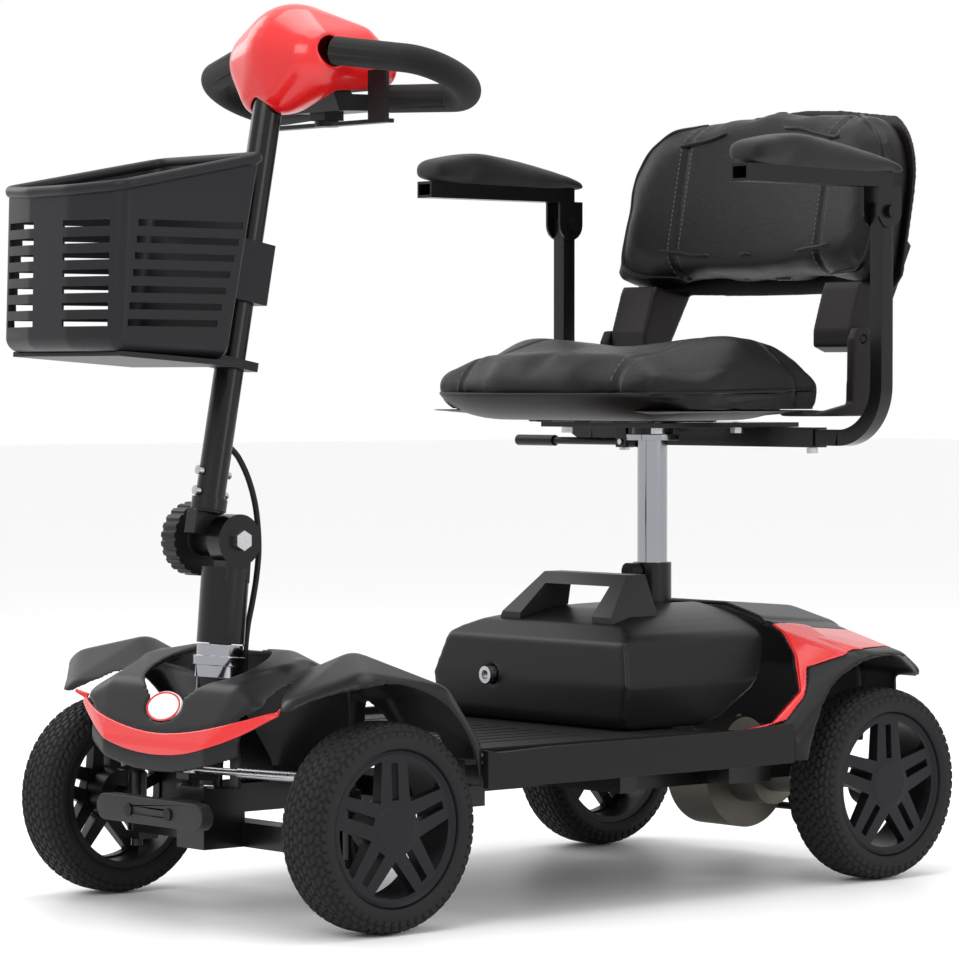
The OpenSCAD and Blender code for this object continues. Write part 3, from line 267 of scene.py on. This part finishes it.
def finish(name, base, rough, grain=(900.0, 0.1, 0.0003), blotch=0.12, rough_spread=0.08, metal=0.0, coat=0.0,
           coat_rough=0.05, sheen=0.0, level=0.2, cells=None, brushed=None, stitch=None, thread=None):
    """A moulded, painted or sewn surface: fine grain in its bump, slow blotches in its colour and roughness."""
    material, node = graph(name)
    place = node("ShaderNodeTexCoord").outputs["Object"]
    scale, strength, depth = grain
    where = place
    if brushed:
        where = node("ShaderNodeMapping", i0=place, i3=brushed).outputs[0]
    slow = node("ShaderNodeTexNoise", Vector=place, Scale=14.0, Detail=3.0, Roughness=0.6).outputs["Fac"]
    fine = node("ShaderNodeTexNoise", Vector=where, Scale=scale, Detail=4.0, Roughness=0.62).outputs["Fac"]
    dark = tuple(v * (1 - blotch) for v in base[:3]) + (1.0,)
    light = tuple(min(1.0, v * (1 + blotch)) for v in base[:3]) + (1.0,)
    tint = node("ShaderNodeMix", {"data_type": "RGBA"}, i0=slow, i6=dark, i7=light).outputs[2]
    roughness = node("ShaderNodeMapRange", i0=fine, i1=0.25, i2=0.75, i3=max(0.02, rough - rough_spread),
                     i4=min(1.0, rough + rough_spread)).outputs[0]
    height = fine
    if cells:
        cell = node("ShaderNodeTexVoronoi", {"feature": "DISTANCE_TO_EDGE"}, Vector=place, Scale=cells).outputs["Distance"]
        pebble = node("ShaderNodeMapRange", i0=cell, i1=0.0, i2=0.22, i3=0.0, i4=1.0).outputs[0]
        height = node("ShaderNodeMath", {"operation": "MULTIPLY_ADD"}, i0=pebble, i1=0.8, i2=fine).outputs[0]
    if stitch:
        tint, height = sewn(node, place, tint, height, stitch, thread)
    bump = node("ShaderNodeBump", Strength=strength, Distance=depth, Height=height).outputs[0]
    shader = node("ShaderNodeBsdfPrincipled", Base_Color=tint, Roughness=roughness, Metallic=metal, Normal=bump,
                  Coat_Weight=coat, Coat_Roughness=coat_rough, Sheen_Weight=sheen, Specular_IOR_Level=level)
    node("ShaderNodeOutputMaterial", Surface=shader.outputs[0])
    return material


def sewn(node, place, tint, height, stitch, thread):
    """Rows of stitches front to back: thread shows where the distance from a row is small and a wave along it is high."""
    rows, along, pitch = stitch
    parts = node("ShaderNodeSeparateXYZ", i0=place).outputs
    side = node("ShaderNodeMath", {"operation": "ABSOLUTE"}, i0=parts[0]).outputs[0]
    near = None
    for row in rows:
        off = node("ShaderNodeMath", {"operation": "SUBTRACT"}, i0=side, i1=row).outputs[0]
        far = node("ShaderNodeMath", {"operation": "ABSOLUTE"}, i0=off).outputs[0]
        near = far if near is None else node("ShaderNodeMath", {"operation": "MINIMUM"}, i0=near, i1=far).outputs[0]
    line = node("ShaderNodeMapRange", i0=near, i1=0.0004, i2=0.0009, i3=1.0, i4=0.0).outputs[0]
    turn = node("ShaderNodeMath", {"operation": "MULTIPLY"}, i0=parts[along], i1=TAU / pitch).outputs[0]
    wave = node("ShaderNodeMath", {"operation": "SINE"}, i0=turn).outputs[0]
    dash = node("ShaderNodeMapRange", i0=wave, i1=-0.35, i2=-0.1, i3=0.0, i4=1.0).outputs[0]
    shown = node("ShaderNodeMath", {"operation": "MULTIPLY"}, i0=line, i1=dash).outputs[0]
    tint = node("ShaderNodeMix", {"data_type": "RGBA"}, i0=shown, i6=tint, i7=thread).outputs[2]
    height = node("ShaderNodeMath", {"operation": "MULTIPLY_ADD"}, i0=shown, i1=2.5, i2=height).outputs[0]
    return tint, height


def colours():
    return bpy.context.scene.scooter_colours


def sizes():
    return bpy.context.scene.scooter_sizes


def harden(node, material, edge=None, angle=32.0):
    """Gives a CAD node its finish, with its edges rounded and its flat faces kept flat by live modifiers."""
    obj = NODES[node]
    obj.data.materials.clear()
    obj.data.materials.append(material)
    smooth(obj.data)
    weld = obj.modifiers.new("Joined corners", "WELD")
    weld.merge_threshold = 1e-5
    edge = sizes().edge if edge is None else edge
    if edge:
        bevel = obj.modifiers.new("Rounded edges", "BEVEL")
        bevel.width = edge
        bevel.segments = 2
        bevel.limit_method = "ANGLE"
        bevel.angle_limit = math.radians(angle)
        bevel.miter_outer = "MITER_ARC"
    flat = obj.modifiers.new("Flat faces", "WEIGHTED_NORMAL")
    flat.mode = "FACE_AREA_WITH_ANGLE"
    flat.keep_sharp = True


def smooth_shell(node, material, thinnest, passes):
    """A thin moulded wall without facets: the CAD solid made even at a voxel that suits its area, then eased."""
    piece = new_piece("moulded_" + node, merged_copy(node))
    area = sum(face.area for face in piece.data.polygons)
    even = piece.modifiers.new("Even", "REMESH")
    even.mode, even.voxel_size = "VOXEL", max(thinnest, math.sqrt(area / 66000.0))
    ease = piece.modifiers.new("Ease", "SMOOTH")
    ease.factor, ease.iterations = 0.5, passes
    keep_modifiers(piece)
    smooth(piece.data)
    return finish_piece(piece, material, node)


class PieceMaker:
    """What every operator here shares."""

    bl_options = {"REGISTER", "UNDO"}

    def execute(self, context):
        self.make()
        return {"FINISHED"}


class SCOOTER_OT_stage(PieceMaker, bpy.types.Operator):
    """Lays the floor, hangs the soft lights and sets the camera"""

    bl_idname = "scooter.stage"
    bl_label = "Stage, lights and camera"

    def make(self):
        scene = bpy.context.scene
        span = np.linspace(-25.0, 25.0, 3)
        points = np.stack([*np.meshgrid(span, span, indexing="ij"), np.full((3, 3), -0.0004)], -1)
        floor = grid_piece("floor", points)
        floor.data.materials.append(finish("floor_paper", tuple(colours().floor), 0.42, (60.0, 0.02, 0.001), 0.004, 0.05, level=0.35))
        world = bpy.data.worlds.new("studio") if scene.world is None else scene.world
        scene.world = world
        world.use_nodes = True
        back_light = next(n for n in world.node_tree.nodes if n.type == "BACKGROUND")
        back_light.inputs[0].default_value = (1.0, 1.0, 1.0, 1.0)
        back_light.inputs[1].default_value = 1.0
        soft = [("key", (1.2, -3.2, 2.6), 2.2, 1.6, 45.0), ("overhead", (0.0, 0.2, 3.4), 2.6, 2.6, 60.0),
                ("near_side", (3.6, 0.6, 1.6), 1.2, 2.2, 26.0), ("far_side", (-3.0, -0.6, 2.2), 1.6, 2.2, 28.0)]
        for name, spot, wide, tall, power in soft:
            lamp = bpy.data.lights.new(name, "AREA")
            lamp.shape = "RECTANGLE"
            lamp.size, lamp.size_y, lamp.energy = wide, tall, power
            holder = bpy.data.objects.new(name, lamp)
            holder.location = spot
            holder.rotation_euler = (Vector((0.0, 0.0, 0.4)) - Vector(spot)).to_track_quat("-Z", "Y").to_euler()
            scene.collection.objects.link(holder)
        view = bpy.data.cameras.new("view")
        view.lens, view.sensor_width = 153.7, 36.0
        view.clip_end = 60.0
        camera = bpy.data.objects.new("view", view)
        camera.location = (3.1943, -2.7129, 0.5182)
        aim = Vector((-0.029, 0.055, 0.4172)) - camera.location
        camera.rotation_euler = aim.to_track_quat("-Z", "Y").to_euler()
        scene.collection.objects.link(camera)
        scene.camera = camera
        scene.view_settings.view_transform = "Standard"


class SCOOTER_OT_steelwork(PieceMaker, bpy.types.Operator):
    """Paints the frame, tubes and brackets, and plates the bolts and bright parts"""

    bl_idname = "scooter.steelwork"
    bl_label = "Steelwork"

    def make(self):
        c = colours()
        black = finish("black_powder_coat", tuple(c.steel), 0.3, (1400.0, 0.12, 0.0002), 0.2, 0.1, coat=0.2, coat_rough=0.15)
        zinc = finish("bright_zinc", shade(186, 187, 190), 0.3, (500.0, 0.08, 0.0002), 0.1, 0.12, metal=1.0)
        chrome = finish("polished_chrome", shade(158, 160, 165), 0.1, (300.0, 0.02, 0.0001), 0.03, 0.03, metal=1.0)
        cast = finish("cast_alloy", tuple(c.cast), 0.5, (420.0, 0.4, 0.0005), 0.2, 0.12, metal=0.7)
        oxide = finish("black_oxide_steel", shade(24, 24, 26), 0.34, (700.0, 0.12, 0.0002), 0.2, 0.1, metal=0.4)
        for node in ("front_frame", "rear_frame", "steering_stem", "knuckle_left", "knuckle_right", "tiller_tube",
                     "seat_frame", "arm_tube_left", "arm_tube_right", "arm_bracket_left", "arm_bracket_right"):
            harden(node, black)
        for node in ("charge_socket", "tie_rod_left", "tie_rod_right", "tiller_bolts", "key", "seat_fasteners"):
            harden(node, zinc, 0.0005)
        for node in ("headset_cups", "seat_post"):
            harden(node, chrome, 0.0005)
        for node in ("bumper_screws", "seat_pin", "seat_lever"):
            harden(node, oxide, 0.0005)
        harden("drive_unit", cast, 0.0015)


class SCOOTER_OT_covers(PieceMaker, bpy.types.Operator):
    """Finishes the moulded covers, battery pack, floor, basket and rims"""

    bl_idname = "scooter.covers"
    bl_label = "Covers and mouldings"

    def make(self):
        c = colours()
        cover = finish("cover_plastic_satin", tuple(c.cover), 0.36, (1500.0, 0.18, 0.0003), 0.08, 0.06)
        skirt = finish("skirt_plastic_matt", tuple(c.skirt), 0.5, (1500.0, 0.25, 0.0003), 0.1, 0.06)
        rim = finish("rim_plastic_satin", tuple(c.rim), 0.4, (1300.0, 0.15, 0.0003), 0.08, 0.07)
        basket = finish("basket_plastic_satin", tuple(c.basket), 0.42, (1300.0, 0.15, 0.0003), 0.08, 0.06)
        black = finish("black_plastic_satin", shade(24, 24, 25), 0.38, (1300.0, 0.15, 0.0003), 0.1, 0.07)
        mat = finish("mat_rubber_ribbed", tuple(c.mat), 0.6, (1100.0, 0.4, 0.0004), 0.15, 0.08)
        grey = finish("grey_plastic_satin", shade(36, 36, 38), 0.4, (1300.0, 0.15, 0.0003), 0.08, 0.07)
        seat = finish("seat_shell_satin", shade(18, 13, 12), 0.46, (700.0, 0.06, 0.0002), 0.2, 0.06)
        cell = finish("cell_wrap", shade(52, 70, 96), 0.45, (600.0, 0.1, 0.0003), 0.1, 0.08)
        yellow = finish("yellow_plastic", shade(222, 186, 40), 0.35, (900.0, 0.08, 0.0002), 0.06, 0.06)
        white = finish("white_plastic", tuple(c.badge), 0.25, (900.0, 0.04, 0.0002), 0.02, 0.05, coat=0.5, level=0.5)
        for node, passes in (("front_shroud", 12), ("rear_shroud", 12), ("battery_case", 16)):
            smooth_shell(node, cover, 0.0016, passes)
        harden("floor_pan", skirt, 0.0015)
        for node in ("front_rim_left", "front_rim_right", "rear_rim_left", "rear_rim_right"):
            harden(node, rim, 0.0007)
        for node in ("basket", "basket_bracket"):
            harden(node, basket)
        for node in ("anti_tip_wheels", "tiller_knob", "head_console", "throttle_lever"):
            harden(node, black, 0.0005)
        for node in ("front_bumper", "battery_handle"):
            harden(node, grey, 0.002)
        for node in ("seat_shell", "backrest_shell"):
            smooth_shell(node, seat, 0.0016, 6)
        harden("foot_mat", mat, 0.0005)
        harden("battery_cells", cell, 0.002)
        harden("horn_button", yellow, 0.0005)
        for node in ("speed_dial", "nose_badge"):
            harden(node, white, 0.0004)
        harden("handle_loops", finish("grip_foam_matt", tuple(c.foam), 0.88, (700.0, 0.6, 0.0008), 0.12, 0.06, sheen=0.08, cells=900.0, level=0.3), 0.0)


class SCOOTER_OT_red_trim(PieceMaker, bpy.types.Operator):
    """Lacquers the head, nose stripe and side panels, and rings the nose badge"""

    bl_idname = "scooter.red_trim"
    bl_label = "Red trim"

    def make(self):
        red = finish("gloss_red_lacquer", tuple(colours().red), 0.3, (500.0, 0.03, 0.0002), 0.05, 0.05, coat=0.5, coat_rough=0.08, level=0.4)
        for node, passes in (("head_shell", 60), ("nose_stripe", 5), ("side_panel_left", 5), ("side_panel_right", 5)):
            smooth_shell(node, red, 0.0009, passes)
        badge = Surface("nose_badge")
        low, high = (np.array(v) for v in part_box("nose_badge"))
        middle, half = (low + high) / 2, (high - low) / 2
        a = np.linspace(0, TAU, 72, endpoint=False)
        start = np.stack([middle[0] + half[0] * 0.93 * np.cos(a), np.full(72, low[1] - 0.1), middle[2] + half[2] * 0.9 * np.sin(a)], -1)
        path = badge.hits(start, np.tile([0.0, 1.0, 0.0], (72, 1)))
        ring = grid_piece("badge_ring", tube_points(path, 0.0011, 10, np.array([0.0, 1.0, 0.3]), closed=True), True, True)
        finish_piece(ring, red, body="chassis", slot="red_plastic")


class Surface:
    """A joined copy of a mesh that rays can be cast at."""

    def __init__(self, source):
        if isinstance(source, str):
            mesh = merged_copy(source)
        else:
            mesh = source
        form = bmesh.new()
        form.from_mesh(mesh)
        self.tree = BVHTree.FromBMesh(form)
        form.free()

    def hits(self, starts, ways):
        """Where each ray first meets the surface; a ray that misses keeps the nearest point of the surface to its start."""
        found = []
        for start, way in zip(starts, ways):
            spot = self.tree.ray_cast(Vector(start), Vector(way))[0] or self.tree.find_nearest(Vector(start))[0]
            found.append(tuple(spot))
        return np.array(found)


class SCOOTER_OT_tyres(PieceMaker, bpy.types.Operator):
    """Moulds the four tyres with staggered tread blocks"""

    bl_idname = "scooter.tyres"
    bl_label = "Tyres"

    def make(self):
        rubber = finish("tyre_rubber_matt", tuple(colours().tyre), 0.62, (900.0, 0.35, 0.0004), 0.12, 0.08)
        for node in ("front_tyre_left", "front_tyre_right", "rear_tyre_left", "rear_tyre_right"):
            low, high = (np.array(v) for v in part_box(node))
            points = self.surface((low + high) / 2, (high - low) / 2)
            finish_piece(grid_piece("tread_" + node, points, True, True), rubber, node)

    def surface(self, middle, half):
        """A closed cross-section turned round the axle; its radius falls by the tread depth between the blocks.

        A block is where the waves along a row and across the rows are both high, and every other row is half a block on."""
        s = sizes()
        wide, rim, out = half[0], half[2] - 0.025, half[2]
        knots = [(rim, 0.0), (rim, wide - 0.005), (rim + 0.002, wide - 0.0015), (rim + 0.005, wide - 0.0003), (out - 0.015, wide),
                 (out - 0.008, wide - 0.0016), (out - 0.0035, wide - 0.0055), (out - 0.0012, wide - 0.011), (out - 0.0002, wide - 0.018), (out, 0.0)]
        knots = np.array(knots + [(r, -a) for r, a in knots[-2:0:-1]])
        fine = curve_points(knots, 600, closed=True)
        length = np.concatenate([[0], np.cumsum(np.linalg.norm(np.diff(np.vstack([fine, fine[:1]]), axis=0), axis=1))])
        even = np.linspace(0, length[-1], 132, endpoint=False)
        ring = np.stack([np.interp(even, length, np.append(fine[:, k], fine[0, k])) for k in (0, 1)], -1)
        along = np.roll(ring, -1, 0) - np.roll(ring, 1, 0)
        normal = np.stack([along[:, 1], -along[:, 0]], -1)
        normal /= np.linalg.norm(normal, axis=1)[:, None]
        away = ring - np.array([(rim + out) / 2, 0.0])
        normal *= np.sign((normal * away).sum(1))[:, None]
        crown = length[-1] / 2
        across = even - even[np.argmax(ring[:, 0] - 1e-3 * np.abs(ring[:, 1]))]
        across = (across + crown) % length[-1] - crown
        pitch = 0.0068
        row = np.round(across / pitch)
        edge = across / pitch - row
        turn = np.linspace(0, TAU, s.tread_blocks * 10, endpoint=False)
        block = turn[:, None] * s.tread_blocks / TAU + 0.5 * (row[None] % 2) + 0.16 * np.sin(across[None] * 400.0)
        block = block - np.floor(block) - 0.5
        flat = np.clip((0.43 - np.abs(block)) / 0.09, 0, 1) * np.clip((0.44 - np.abs(edge)) / 0.1, 0, 1)[None]
        treaded = np.clip((s.tread_rows / 2 * pitch - np.abs(across)) / 0.002, 0, 1)[None]
        depth = s.tread_depth * (1 - flat) * treaded
        radius = ring[None, :, 0] - depth * normal[None, :, 0]
        axial = ring[None, :, 1] - depth * normal[None, :, 1]
        return np.stack([middle[0] + axial, middle[1] + radius * np.cos(turn)[:, None], middle[2] + radius * np.sin(turn)[:, None]], -1)


class SCOOTER_OT_cable(PieceMaker, bpy.types.Operator):
    """Runs the control cable from the tiller round the fold into the nose"""

    bl_idname = "scooter.cable"
    bl_label = "Control cable"

    def make(self):
        low, high = (np.array(v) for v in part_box("control_cable"))
        route = np.array([[-26, 466], [-20, 460], [-12, 454], [-2, 444], [9, 425], [17, 402], [21, 378], [22, 352], [19, 326],
                          [14, 302], [9, 282], [6, 262], [5, 244], [4, 224], [6, 205]]) / 1000.0
        front = high[1] - 0.003 - route[:, 0].max()
        knots = np.stack([np.zeros(len(route)), route[:, 0] + front, route[:, 1]], -1)
        path = curve_points(knots, 120)
        cable = grid_piece("cable_sheath", tube_points(path, sizes().cable, 16, np.array([1.0, 0.0, 0.0])), False, True, True)
        rubber = finish("cable_rubber_smooth", shade(22, 22, 24), 0.42, (900.0, 0.12, 0.0002), 0.1, 0.08)
        cable.data.materials.append(rubber)
        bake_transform(cable)
        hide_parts("control_cable")


def stuffed(name, node, voxel, inset, cap, soften=4, stretch=26):
    """A padded form: the CAD solid made even, drawn in, blown up by cloth pressure, held within the cap and subdivided once."""
    piece = new_piece(name, merged_copy(node))
    even = piece.modifiers.new("Even", "REMESH")
    even.mode, even.voxel_size = "VOXEL", voxel
    draw_in = piece.modifiers.new("Draw in", "DISPLACE")
    draw_in.strength, draw_in.mid_level = -inset, 0.0
    ease = piece.modifiers.new("Ease", "SMOOTH")
    ease.factor, ease.iterations = 0.5, soften
    keep_modifiers(piece)
    rest = points_of(piece.data)
    blow = piece.modifiers.new("Blow up", "CLOTH")
    blow.settings.quality = 5
    blow.settings.use_pressure = True
    blow.settings.uniform_pressure_force = 4.0
    blow.settings.effector_weights.gravity = 0.0
    blow.point_cache.frame_start, blow.point_cache.frame_end = 1, 20
    for step in range(1, 21):
        bpy.context.scene.frame_set(step)
    keep_modifiers(piece)
    bpy.context.scene.frame_set(1)
    moved = points_of(piece.data) - rest
    far = np.linalg.norm(moved, axis=1)
    put_points(piece.data, rest + moved * np.minimum(1.0, cap / np.maximum(far, 1e-9))[:, None])
    taut = piece.modifiers.new("Pull taut", "SMOOTH")
    taut.factor, taut.iterations = 0.5, stretch
    finer = piece.modifiers.new("Finer", "SUBSURF")
    finer.levels = finer.render_levels = 1
    keep_modifiers(piece)
    smooth(piece.data)
    return piece


def groove(mesh, distance, depth, width):
    """Draws the surface in by the depth times a bell curve of each point's distance from the seam."""
    put_points(mesh, points_of(mesh) - normals_of(mesh) * (depth * np.exp(-((distance / width) ** 2)))[:, None])


class SCOOTER_OT_seat(PieceMaker, bpy.types.Operator):
    """Blows up the seat cushion, shapes its saddle, and sews its seams and piping"""

    bl_idname = "scooter.seat"
    bl_label = "Seat cushion"

    def make(self):
        s, c = sizes(), colours()
        hide = finish("seat_hide", tuple(c.hide), 0.4, (260.0, 0.35, 0.0005), 0.14, 0.08, cells=620.0,
                      stitch=((0.113, 0.128), 1, 0.0052), thread=tuple(c.thread))
        low, high = (np.array(v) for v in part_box("seat_cushion"))
        seat = stuffed("seat_padding", "seat_cushion", 0.005, 0.002, 0.014)
        co = points_of(seat.data)
        along = (co[:, 1] - low[1]) / (high[1] - low[1])
        side = np.abs(co[:, 0]) / high[0]
        top = np.clip((co[:, 2] - low[2] - 0.022) / 0.026, 0, 1)
        hollow = 0.013 * np.exp(-((side / 0.5) ** 2)) * np.exp(-(((along - 0.6) / 0.34) ** 2))
        dip = 0.010 * np.exp(-(((along - 0.3) / 0.16) ** 2)) * np.clip(side * 1.4, 0, 1)
        fall = 0.014 * np.clip((along - 0.72) / 0.28, 0, 1) ** 1.5
        co[:, 2] -= top * (hollow + dip + fall)
        co[:, 2] = np.maximum(co[:, 2], low[2] + 0.0004)
        turn_in = np.clip((low[2] + 0.022 - co[:, 2]) / 0.022, 0, 1)
        out = normals_of(seat.data)[:, :2]
        out = out / np.maximum(np.linalg.norm(out, axis=1), 0.2)[:, None]
        centre_off = np.abs(co[:, :2] - (low[:2] + high[:2]) / 2) / (high[:2] - low[:2]) * 2
        rim_only = np.clip((centre_off.max(1) - 0.72) / 0.14, 0, 1)
        co[:, :2] += out * (0.016 * (1 - np.sqrt(1 - turn_in**2)) * rim_only)[:, None]
        put_points(seat.data, co)
        upper = co[:, 2] > low[2] + 0.014
        seam = np.where(upper, np.abs(np.abs(co[:, 0]) - 0.1205), 1.0)
        groove(seat.data, seam, s.seam_depth, 0.0042)
        shape = Surface(seat.data)
        a = np.linspace(0, TAU, 220, endpoint=False)
        middle = (low + high) / 2
        starts = np.stack([middle[0] + 0.4 * np.cos(a), middle[1] + 0.4 * np.sin(a), low[2] + 0.0185 + 0.004 * np.sin(a)], -1)
        ways = np.stack([-np.cos(a), -np.sin(a), np.zeros_like(a)], -1)
        path = shape.hits(starts, ways)
        path = (np.roll(path, 1, 0) + path * 2 + np.roll(path, -1, 0)) / 4
        cord = grid_piece("seat_piping", tube_points(path, s.piping, 10, np.array([0.0, 0.0, 1.0]), closed=True), True, True)
        trim = finish("piping_hide", tuple(c.hide), 0.36, (420.0, 0.25, 0.0003), 0.14, 0.08)
        finish_piece(cord, trim, body="seat", slot="seat_vinyl")
        finish_piece(seat, hide, "seat_cushion")
        self.skirt(low)

    def skirt(self, low):
        """The shell's turned-up rim: a rounded oblong that shrinks by a quarter circle as it goes down."""
        a = np.linspace(0, TAU, 160, endpoint=False)
        down = np.linspace(0, math.pi / 2, 14)
        across = np.sign(np.cos(a)) * np.abs(np.cos(a)) ** 0.5
        along = np.sign(np.sin(a)) * np.abs(np.sin(a)) ** 0.5
        wide = 0.189 - 0.045 * (1 - np.cos(down)) - 0.012 * down
        deep = 0.131 - 0.040 * (1 - np.cos(down)) - 0.012 * down
        high = low[2] + 0.016 - 0.0275 * np.sin(down)
        outer = np.stack([wide[:, None] * across, 0.221 + deep[:, None] * along, np.repeat(high[:, None], 160, 1)], -1)
        inner = outer * [0.985, 1.0, 1.0] + [0.0, 0.0033, 0.0014]
        rim = grid_piece("seat_shell_rim", np.concatenate([outer, inner[::-1]]), True, True)
        finish_piece(rim, bpy.data.materials["seat_shell_satin"], body="seat", slot="seat_plastic")


class SCOOTER_OT_backrest(PieceMaker, bpy.types.Operator):
    """Blows up the curved backrest cushion and sews its seams and piping"""

    bl_idname = "scooter.backrest"
    bl_label = "Backrest cushion"

    def make(self):
        s, c = sizes(), colours()
        hide = finish("back_hide", tuple(c.hide), 0.4, (260.0, 0.35, 0.0005), 0.14, 0.08, cells=620.0,
                      stitch=((0.104, 0.119), 2, 0.0052), thread=tuple(c.thread))
        low, high = (np.array(v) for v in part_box("backrest_cushion"))
        back = stuffed("back_padding", "backrest_cushion", 0.005, 0.003, 0.014)
        lean = math.radians(11.0)
        origin = np.array([0.0, 0.411, 0.624])
        turn = np.array([[1, 0, 0], [0, math.cos(lean), math.sin(lean)], [0, -math.sin(lean), math.cos(lean)]])
        flat = (points_of(back.data) - origin) @ turn
        rear = 0.0525 - flat[:, 0] ** 2 / 1.5
        flat[:, 1] = np.minimum(flat[:, 1], rear)
        put_points(back.data, flat @ turn.T + origin)
        face = normals_of(back.data)[:, 1] < -0.25
        seam = np.where(face, np.abs(np.abs(flat[:, 0]) - 0.1115), 1.0)
        groove(back.data, seam, s.seam_depth, 0.0042)
        shape = Surface(back.data)
        a = np.radians(np.array([-90, -70, -50, -42, -36, -25, -8, 10, 25, 38, 52, 66, 80]))
        wide = np.array([0.0, 0.07, 0.130, 0.168, 0.187, 0.191, 0.192, 0.19, 0.178, 0.156, 0.12, 0.07, 0.0])
        tall = np.array([0.013, 0.013, 0.013, 0.014, 0.024, 0.05, 0.08, 0.12, 0.15, 0.172, 0.187, 0.193, 0.195])
        knots = np.stack([np.append(wide, -wide[-2:0:-1]), np.full(24, -0.2), np.append(tall, tall[-2:0:-1])], -1)
        outline = curve_points(knots, 260, closed=True)
        path = shape.hits(outline @ turn.T + origin, np.tile(turn @ np.array([0.0, 1.0, 0.0]), (260, 1)))
        path = (np.roll(path, 1, 0) + path * 2 + np.roll(path, -1, 0)) / 4
        cord = grid_piece("back_piping", tube_points(path, s.piping, 10, turn @ np.array([0.0, 1.0, 0.0]), closed=True), True, True)
        trim = finish("back_piping_hide", tuple(c.hide), 0.36, (420.0, 0.25, 0.0003), 0.14, 0.08)
        finish_piece(cord, trim, body="backrest", slot="seat_vinyl")
        finish_piece(back, hide, "backrest_cushion")


class SCOOTER_OT_arm_pads(PieceMaker, bpy.types.Operator):
    """Blows up the two foam arm pads"""

    bl_idname = "scooter.arm_pads"
    bl_label = "Arm pads"

    def make(self):
        foam = finish("arm_foam_skin", tuple(colours().foam), 0.62, (800.0, 0.45, 0.0005), 0.12, 0.08, sheen=0.15, cells=800.0)
        for node in ("arm_pad_left", "arm_pad_right"):
            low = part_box(node)[0][2]
            pad = stuffed("soft_" + node, node, 0.004, 0.002, 0.007, 14)
            co = points_of(pad.data)
            co[:, 2] = np.maximum(co[:, 2], low + 0.0002)
            put_points(pad.data, co)
            finish_piece(pad, foam, node)


class SCOOTER_OT_basket_lip(PieceMaker, bpy.types.Operator):
    """Rolls the thick lip round the basket's mouth"""

    bl_idname = "scooter.basket_lip"
    bl_label = "Basket lip"

    def make(self):
        shape = Surface("basket")
        low, high = (np.array(v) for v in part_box("basket"))
        front = -0.278
        a = np.linspace(0, TAU, 240, endpoint=False)
        middle = (low + high) / 2
        path = None
        height = np.full(240, 0.70)
        for _ in range(4):
            starts = np.stack([middle[0] + 0.5 * np.cos(a), middle[1] + 0.5 * np.sin(a), height - 0.003], -1)
            path = shape.hits(starts, np.stack([-np.cos(a), -np.sin(a), np.zeros_like(a)], -1))
            height = np.interp(path[:, 1] - front, [-0.4, -0.211, -0.03, 0.1], [0.668, 0.704, 0.738, 0.762])
        path[:, 2] = height - 0.003
        path = (np.roll(path, 2, 0) + np.roll(path, 1, 0) * 2 + path * 3 + np.roll(path, -1, 0) * 2 + np.roll(path, -2, 0)) / 9
        lip = grid_piece("basket_lip", tube_points(path, sizes().rim_lip, 14, np.array([0.0, 0.0, 1.0]), closed=True, flat=1.3), True, True)
        finish_piece(lip, NODES["basket"].data.materials[0], body="tiller", slot="basket_plastic")


MAKERS = [SCOOTER_OT_stage, SCOOTER_OT_steelwork, SCOOTER_OT_covers, SCOOTER_OT_red_trim, SCOOTER_OT_tyres, SCOOTER_OT_cable,
          SCOOTER_OT_seat, SCOOTER_OT_backrest, SCOOTER_OT_arm_pads, SCOOTER_OT_basket_lip]


class SCOOTER_PT_panel(bpy.types.Panel):
    """Lists the colours, the sizes and the makers of the pieces."""

    bl_idname = "SCOOTER_PT_panel"
    bl_label = "Mobility Scooter"
    bl_space_type = "VIEW_3D"
    bl_region_type = "UI"
    bl_category = "Scooter"

    def draw(self, context):
        for group in (context.scene.scooter_colours, context.scene.scooter_sizes):
            box = self.layout.box()
            for key in group.__annotations__:
                box.prop(group, key)
        for maker in MAKERS:
            self.layout.operator(maker.bl_idname)


CLASSES = [ScooterColours, ScooterSizes, *MAKERS, SCOOTER_PT_panel]


def register():
    for kind in CLASSES:
        bpy.utils.register_class(kind)
    bpy.types.Scene.scooter_colours = bpy.props.PointerProperty(type=ScooterColours)
    bpy.types.Scene.scooter_sizes = bpy.props.PointerProperty(type=ScooterSizes)


def unregister():
    del bpy.types.Scene.scooter_sizes
    del bpy.types.Scene.scooter_colours
    for kind in reversed(CLASSES):
        bpy.utils.unregister_class(kind)


def main():
    register()
    for maker in MAKERS:
        area, name = maker.bl_idname.split(".")
        getattr(getattr(bpy.ops, area), name)()


if __name__ == "__main__":
    main()
